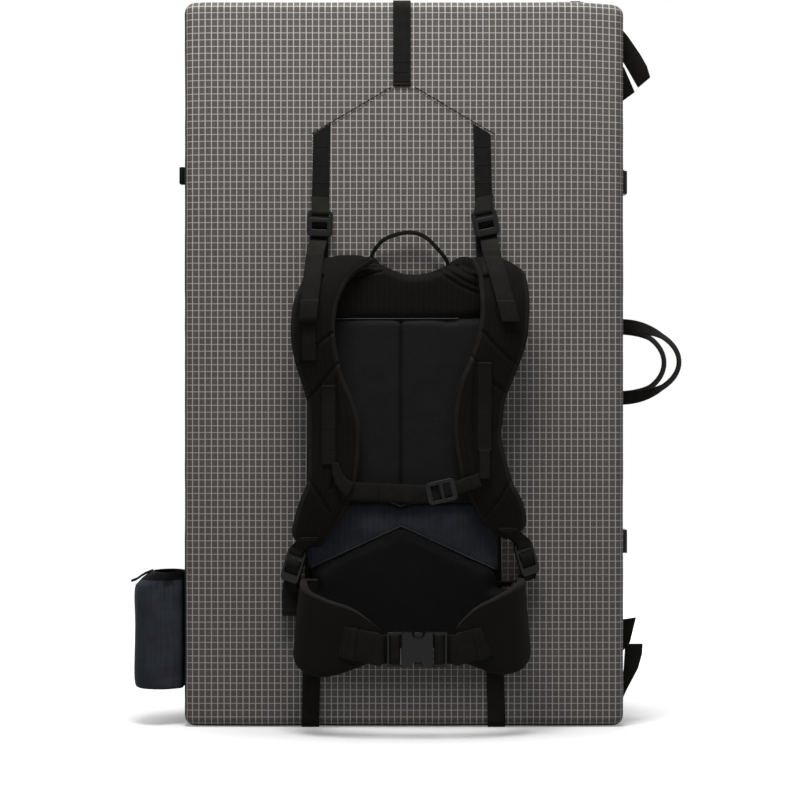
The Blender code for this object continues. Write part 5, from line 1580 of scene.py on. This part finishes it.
grab_width, grab_thickness, grab_stand_off = 0.010, 0.0052, 0.012
grab_arc = (
    (-0.169, 0.986), (-0.137, 1.014), (-0.079, 1.037), (0.032, 1.050), (0.120, 1.040), (0.190, 1.010),
    (0.235, 0.985), (0.248, 0.966),
)
grab_depth = panel_front + 2 * clearance + grab_width / 2
path = flowing(
    [
        place(*share, grab_depth + grab_stand_off * min(1, min(k, len(grab_arc) - 1 - k) / 2))
        for k, share in enumerate(grab_arc)
    ],
    6,
)
sides = []
for k in range(len(path)):
    run = (path[min(k + 1, len(path) - 1)] - path[max(k - 1, 0)]).normalized()
    sides.append((out - out.dot(run) * run).normalized())
shape = lay_webbing(bmesh.new(), path, sides, width=grab_width, thickness=grab_thickness)
grab = piece("arched_grab_handle", shape, [webbing_cloth, thread_black])
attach(grab, "top_handle")
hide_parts("grab_handle")

# The waist webbings: 40 mm wide, sewn flat on the wings and laced through the buckle's frames.

frame_thickness = 0.006
frame_off = frame_thickness / 2 + lock_play + web_thickness / 2
waist_width = 0.0465 - 2 * frame_rail
for hand, way in (("left", 1), ("right", -1)):
    root = Vector((belt_middle - way * belt_root_reach, front_face - root_depth, 0))
    plan = [
        root + Vector((way * x * belt_run, -y * belt_rise, 0)) for x, y, _, _ in wing_rows[hand]
    ]
    runs = [b - a for a, b in zip(plan, plan[1:])]
    normals = []
    for k in (5, 6):
        one, two = (way * run.cross(upward).normalized() for run in (runs[k - 1], runs[min(k, 5)]))
        normals.append((one + two) / (1 + one.dot(two)))
    lift = bead + web_lift
    sewn = [plan[4].lerp(plan[5], 0.55) + normals[0] * lift]
    sewn += [plan[k] + normals[k - 5] * lift for k in (5, 6)]
    sewn.append(sewn[-1] + runs[-1].normalized() * frame_slot)
    outer = Vector((belt_middle - way * buckle_length / 2, buckle_y, 0))
    slot = frame_outer_bar + frame_slot / 2
    inner = frame_outer_bar + frame_slot + frame_bar + frame_inner_slot / 2
    over = frame_off + web_thickness
    steps = (
        (-frame_slot, frame_off), (slot - frame_slot / 3, frame_off), (slot, 0),
        (slot + frame_slot / 3, -frame_off), (inner - frame_inner_slot / 4, -frame_off), (inner, 0),
        (inner - frame_inner_slot / 4, over), (slot, over + 2 * lock_play),
        (-2 * frame_slot, over + 2 * lock_play),
    )
    ring = [outer + across * way * x - out * depth for x, depth in steps]
    spans = [(b - a).length for a, b in zip(sewn, sewn[1:])]
    left = [sum(spans[k:]) / sum(spans) for k in range(len(sewn))]
    rise = [0.0105 * share for share in left] + [0.0] * len(ring)
    path = [Vector((p.x, p.y, buckle_z + up)) for p, up in zip(sewn + ring, rise)]
    cut = (path[1] - path[0]).normalized() * (0.20 if hand == "left" else 0.45)
    sides = [upward + cut] + [upward] * (len(path) - 1)
    widths = [0.0415 + 0.0045 * min(1, 2.2 * (1 - share)) for share in left] + [waist_width] * len(ring)
    widths[len(sewn) - 1] = waist_width + 0.001
    shape = lay_webbing(bmesh.new(), path, sides, width=widths)
    facing = (path[1] - path[0]).cross(upward).normalized() * way
    proud = facing * web_thickness
    fold = path[0].lerp(path[1], 0.22) + proud, path[1].lerp(path[2], 0.08) + proud
    lay_webbing(shape, fold, [upward + cut * 0.6, upward + cut * 0.4], width=[0.0430, 0.0472])
    for share in (0.30, 0.92):
        spot = fold[0].lerp(fold[1], share)
        spot += facing * web_thickness / 2
        bar_tack(shape, spot, upward + cut * 0.5, facing, waist_width * 0.95, 0.0014)
    waist = piece(f"{hand}_waist_strap", shape, [webbing_cloth, thread_black])
    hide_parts(f"{hand}_waist_webbing")
    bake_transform(waist)

# The waist buckle: a side-release buckle, moulded in acetal. The right part is a shell with a
# thumb notch above and below, and the left part is a frame with a tongue and two prongs, which
# show in the notches.

shell_low, shell_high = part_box("waist_buckle_female")
shell_middle, half_shell = (shell_low.z + shell_high.z) / 2, (shell_high.z - shell_low.z) / 2
notch_middle, notch_foot = shell_low.x + 0.0225, half_shell - 0.0062
for node, name, body, radius in (
    ("waist_buckle_male", "buckle_frame_and_tongue", "male_buckle", 0.0007),
    ("waist_buckle_female", "buckle_shell", "female_buckle", 0.0004),
    ("upper_prong", "buckle_upper_prong", "upper_prong_body", 0.0008),
    ("lower_prong", "buckle_lower_prong", "lower_prong_body", 0.0008),
):
    shape = copy_of(node)
    if "prong" in node:
        way = 1 if "upper" in node else -1
        ends = [shell_middle + way * z for z in (notch_foot, half_shell - 0.0003)]
        low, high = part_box(node)
        box(
            shape, (notch_middle - 0.0060, low.y - 0.0012, min(ends)),
            (notch_middle + 0.0060, high.y + 0.0012, max(ends)),
        )
    edged(shape, radius, segments=2, least_angle=40)
    part = piece(name, shape, acetal, smooth="shell" not in name)
    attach(part, body)
    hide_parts(node)

# The side pocket: a pouch in thin navy ripstop sewn to the spine side of the front half, open at
# the top. Its mouth is gathered by a broad hem with elastic, and a pull tab hangs from its corner.

pocket_low, pocket_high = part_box("side_pocket")
pocket_wall = 0.0016
pocket_seat = pocket_high.x
pocket_reach, pocket_depth = pocket_high.x - pocket_low.x, 0.090
pocket_middle = (pocket_low.y + pocket_high.y) / 2
pocket_rows = (
    (0.000, 0.90, 0.92), (0.012, 0.965, 0.965), (0.05, 0.99, 0.99), (0.12, 1.0, 1.0), (0.22, 1.0, 1.0),
    (0.34, 0.99, 1.0), (0.46, 0.985, 1.0), (0.58, 0.99, 1.0), (0.70, 1.0, 1.0), (0.80, 1.0, 1.0),
    (0.86, 0.985, 1.0), (0.885, 0.965, 0.99), (0.895, 0.93, 0.975), (0.93, 0.87, 0.96), (0.965, 0.77, 0.94),
    (0.995, 0.66, 0.91), (1.0, 0.63, 0.90),
)
pocket_steps = 44


def pocket_ring(height, reach, depth, inset):
    """A ring round the pocket, flat on the case's side and full on the other, with soft folds."""
    ring = []
    for step in range(pocket_steps + 1):
        turn = math.pi * (0.5 - 0.5 * math.cos(math.pi * step / pocket_steps))
        bulge = abs(math.sin(turn)) ** 0.45 if 0 < step < pocket_steps else 0.0
        fold = noise.noise(Vector((turn * 2.3, height * 1.4, 3.0))) * 0.0028
        fold += noise.noise(Vector((turn * 5.0, height * 4.0, 9.0))) * 0.0012
        fold *= min(1.0, 4 * height) * min(1.0, 2 * bulge) if 0 < step < pocket_steps else 0
        gather = 0.0006 * math.sin(turn * 46) if height > 0.9 else 0.0
        away = (pocket_reach * reach - 2 * inset) * bulge - abs(fold) + gather * bulge
        pinch = 1.0 - 0.42 * math.exp(-((bulge / 0.24) ** 2))
        y = pocket_middle + (pocket_depth / 2 * depth - inset) * math.cos(turn) * pinch
        crease = math.exp(-(((bulge - 0.26 - 0.06 * height) / 0.07) ** 2)) * 0.0060
        crease += math.exp(-(((bulge - 0.62 + 0.10 * height) / 0.06) ** 2)) * 0.0030 * height
        crease += 0.0016 * math.sin(bulge * 40) * max(0.0, height - 0.55)
        y += (crease if turn > math.pi / 2 else -crease) * min(1.0, 5 * height) * (height < 0.93)
        z = pocket_low.z + (pocket_high.z - pocket_low.z) * height
        ring.append(Vector((pocket_seat - inset - max(0.0, away), y, z)))
    return ring


def raise_through(shape, rings):
    """Extrudes a closed loop through rings of as many points each, and closes both ends."""
    ring = [shape.verts.new(point) for point in rings[0]]
    edges = [shape.edges.new(pair) for pair in zip(ring, ring[1:] + ring[:1])]
    seen, ends = set(ring), [edges]
    for points in rings[1:]:
        bmesh.ops.extrude_edge_only(shape, edges=edges)
        ring = [
            next(e.other_vert(v) for e in v.link_edges if e.other_vert(v) not in seen) for v in ring
        ]
        seen |= set(ring)
        edges = [shape.edges.get(pair) for pair in zip(ring, ring[1:] + ring[:1])]
        for vert, point in zip(ring, points):
            vert.co = point
    ends.append(edges)
    for loop_edges in ends:
        bmesh.ops.edgeloop_fill(shape, edges=loop_edges)
    return shape


outer_rings = [pocket_ring(*row, 0.0) for row in pocket_rows]
inner_rings = [pocket_ring(max(row[0], 0.01), *row[1:], pocket_wall) for row in pocket_rows]
shape = raise_through(bmesh.new(), outer_rings + inner_rings[::-1])
uv = shape.loops.layers.uv.get("UVMap") or shape.loops.layers.uv.new("UVMap")
hem_foot = pocket_low.z + (pocket_high.z - pocket_low.z) * 0.93
for face in shape.faces:
    if face.calc_center_median().z > hem_foot:
        face.material_index = 2
    for loop in face.loops:
        x, y, z = loop.vert.co
        loop[uv].uv = (y - x, z)
for height in (0.022, 0.885):
    rim = pocket_ring(height, 1.0 if height < 0.5 else 0.975, 1.0, -0.0003)
    rim = [p for p in rim if p.x < pocket_seat - 0.006]
    for a, b in zip(rim, rim[1:]):
        facing = (b - a).cross(upward).normalized()
        if facing.dot(a - Vector((pocket_seat, pocket_middle, a.z))) < 0:
            facing = -facing
        stitches(shape, [a, b], facing, length=0.003, gap=0.001)
pocket = piece("navy_side_pocket", shape, [ripstop["navy"], thread_black, ripstop["black"]])
finer(pocket)
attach(pocket, "front_half")
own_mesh(pocket)
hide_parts("side_pocket")

pull = [(-0.3964, 0.2072), (-0.3890, 0.2100), (-0.3785, 0.2170), (-0.3660, 0.2222)]
path = flowing([Vector((x, pocket_middle, z)) for x, z in pull], 3)
shape = lay_webbing(bmesh.new(), path, Vector((0, 1, 0)), width=0.020, thickness=0.0032)
tab = piece("pocket_pull_webbing", shape, webbing_cloth)
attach(tab, "front_half")
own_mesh(tab)
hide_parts("pocket_pull_tab")

# A small folded loop of webbing is sewn into the spine's side seam, higher up.
shape = bmesh.new()
box(shape, (pocket_seat - 0.0072, -0.016, 0.7842), (pocket_seat + 0.0010, 0.002, 0.8089))
edged(shape, 0.0016, segments=3)
lay_flat(shape, 1, 2)
side_loop = piece("spine_side_loop", shape, webbing_cloth)
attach(side_loop, "front_half")
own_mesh(side_loop)

# The side carrying handles: one loop of webbing on each half. It leaves the side flat and twists
# to lie edge on, so that it is broad at its roots and thin at the hand.

handle_height, handle_span = pad_height / 2 + 0.0035, 0.105
handle_seat = half_width + web_thickness / 2
handle_width = web_width * 0.8
for side, reach in (("front", 0.0835), ("back", 0.073)):
    low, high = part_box(f"{side}_side_handle")
    y = (low.y + high.y) / 2
    path, sides = [], []
    for step in range(41):
        turn = math.pi * step / 40
        z = handle_height + handle_span / 2 * math.cos(turn)
        path.append(Vector((handle_seat + reach * math.sin(turn), y, z)))
        run = Vector((reach * math.cos(turn), 0, -handle_span / 2 * math.sin(turn))).normalized()
        flat = Vector((-run.z, 0, run.x))
        twist = math.radians(66) * min(1, math.sin(turn) / math.sin(math.pi / 4))
        sides.append((flat * math.cos(twist) + Vector((0, 1, 0)) * math.sin(twist)).normalized())
    shape = lay_webbing(bmesh.new(), path, sides, width=handle_width)
    handle = piece(f"{side}_carrying_loop", shape, [webbing_cloth, thread_black])
    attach(handle, f"{side}_handle")
    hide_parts(f"{side}_side_handle")

# The corner straps: flat tails of webbing on the right side, sewn by one edge and cut on a slant.

for side in ("front", "back"):
    for level in ("upper", "lower"):
        node = f"{level}_{side}_corner_strap"
        low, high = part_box(node)
        shape = copy_of(node)
        for vert in shape.verts:
            if side == "back":
                vert.co.z += (vert.co.z - (low.z + high.z) / 2) * 0.30
        edged(shape, 0.0005)
        lay_flat(shape, 0, 2)
        strap_tail = piece(f"{level}_{side}_corner_tail", shape, webbing_cloth)
        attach(strap_tail, f"{side}_half")
        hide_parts(node)

# The closures on the right side: two small side-release buckles, each on a short webbing, and the
# two webbings that run right round the back half to hold their other parts.

for level in ("lower", "upper"):
    shape = copy_of(f"{level}_closure_webbing")
    edged(shape, 0.0005)
    lay_flat(shape, 2, 1)
    short = piece(f"{level}_closure_strap", shape, webbing_cloth)
    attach(short, "front_half")
    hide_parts(f"{level}_closure_webbing")

    low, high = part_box(f"{level}_back_webbing")
    z = (low.z + high.z) / 2
    male_low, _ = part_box(f"{level}_closure_male")
    corner = [Vector((half_width - x, back_face - y, z)) for x, y in round_edge(web_lift)]
    path = [Vector((half_width + web_lift, male_low.y, z)), *corner[::-1]]
    path += [Vector((-p.x, p.y, z)) for p in corner]
    shape = lay_webbing(bmesh.new(), path, upward, width=0.025)
    for x in (-0.2, 0.2):
        bar_tack(shape, Vector((x, back_face + web_lift + web_thickness / 2, z)), upward, -out, 0.022)
    long_back = piece(f"{level}_back_strap", shape, [webbing_cloth, thread_black])
    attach(long_back, "back_half")
    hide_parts(f"{level}_back_webbing")

    for part, body in (("female", "front_half"), ("male", "back_half")):
        shape = copy_of(f"{level}_closure_{part}")
        edged(shape, 0.0005, segments=2, least_angle=35)
        buckle = piece(f"{level}_closure_buckle_{part}", shape, acetal)
        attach(buckle, body)
        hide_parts(f"{level}_closure_{part}")

# The studio: a plain pale floor, a camera square to the carrying side, a large soft lamp above
# and to the left, and a weak one on the right. The floor turns to pure white away from the pad,
# and keeps the pad's shadow near it.

camera_data = bpy.data.cameras.new("camera")
camera_data.sensor_width = 36
camera_data.lens = 107.07
camera = bpy.data.objects.new("camera", camera_data)
camera.location = (-0.00935, -3.45, 0.474)
camera.rotation_euler = (math.pi / 2, 0, 0)
bpy.context.scene.collection.objects.link(camera)
bpy.context.scene.camera = camera

for name, spot, aim, size, power in (
    ("key_lamp", (-0.15, -0.70, 2.24), (-0.05, -0.1, 0.60), 0.9, 34),
    ("fill_lamp", (1.5, -2.4, 1.7), (0.1, 0, 0.5), 1.6, 4),
    ("rear_lamp", (0.4, 2.2, 2.4), (0, 0.1, 0.5), 1.6, 24),
):
    data = bpy.data.lights.new(name, "AREA")
    data.shape = "SQUARE"
    data.size = size
    data.energy = power
    lamp = bpy.data.objects.new(name, data)
    lamp.location = spot
    lamp.rotation_euler = (Vector(aim) - Vector(spot)).to_track_quat("-Z", "Y").to_euler()
    bpy.context.scene.collection.objects.link(lamp)

world = bpy.data.worlds.new("studio_air")
world.use_nodes = True
bpy.context.scene.world = world
tree = world.node_tree
tree.nodes.clear()
path = add(tree, "ShaderNodeLightPath")
through = add(
    tree, "ShaderNodeMath",
    {0: path.outputs["Is Glossy Ray"], 1: path.outputs["Is Transmission Ray"]},
    operation="MAXIMUM",
)
seen = add(
    tree, "ShaderNodeMath", {0: path.outputs["Is Camera Ray"], 1: through.outputs[0]},
    operation="MAXIMUM",
)
air = add(tree, "ShaderNodeBackground", {"Color": (1, 1, 1, 1), "Strength": 0.065})
white = add(tree, "ShaderNodeBackground", {"Color": (1, 1, 1, 1), "Strength": 1.0})
both = add(
    tree, "ShaderNodeMixShader", {0: seen.outputs[0], 1: air.outputs[0], 2: white.outputs[0]}
)
add(tree, "ShaderNodeOutputWorld", {"Surface": both.outputs[0]})

# Floor: matt pale paper. The camera sees it lighter, and white beyond half a metre
paper = bpy.data.materials.new("matt_white_paper")
paper.use_nodes = True
tree = paper.node_tree
tree.nodes.clear()
spot = add(tree, "ShaderNodeTexCoord").outputs["Object"]
flat = add(tree, "ShaderNodeVectorMath", {0: spot, 1: (1.3, 2.0, 0.0)}, operation="MULTIPLY")
reach = add(tree, "ShaderNodeVectorMath", {0: flat.outputs[0]}, operation="LENGTH")
away = add(
    tree, "ShaderNodeMapRange",
    {
        "Value": reach.outputs["Value"], "From Min": 0.25, "From Max": 0.75, "To Min": 0.12,
        "To Max": 0.75,
    },
    interpolation_type="SMOOTHSTEP",
)
path = add(tree, "ShaderNodeLightPath")
through = add(
    tree, "ShaderNodeMath",
    {0: path.outputs["Is Glossy Ray"], 1: path.outputs["Is Transmission Ray"]},
    operation="MAXIMUM",
)
seen = add(
    tree, "ShaderNodeMath", {0: path.outputs["Is Camera Ray"], 1: through.outputs[0]},
    operation="MAXIMUM",
)
lighter = add(
    tree, "ShaderNodeMath", {0: away.outputs["Result"], 1: seen.outputs[0]}, operation="MULTIPLY"
)
seen_tone = add(
    tree, "ShaderNodeMix", {0: seen.outputs[0], 6: linear("#9A9A9A"), 7: (1, 1, 1, 1)}, data_type="RGBA"
)
matt = add(tree, "ShaderNodeBsdfDiffuse", {"Color": seen_tone.outputs[2]})
glow = add(tree, "ShaderNodeEmission", {"Color": (1, 1, 1, 1), "Strength": lighter.outputs[0]})
both = add(tree, "ShaderNodeAddShader", {0: matt.outputs[0], 1: glow.outputs[0]})
add(tree, "ShaderNodeOutputMaterial", {"Surface": both.outputs[0]})
shape = bmesh.new()
bmesh.ops.create_grid(shape, x_segments=1, y_segments=1, size=3.0)
for polygon in shape.faces:
    if polygon.normal.z < 0:
        polygon.normal_flip()
floor = piece("studio_floor", shape, paper, smooth=False)

bpy.context.scene.view_settings.view_transform = "Standard"
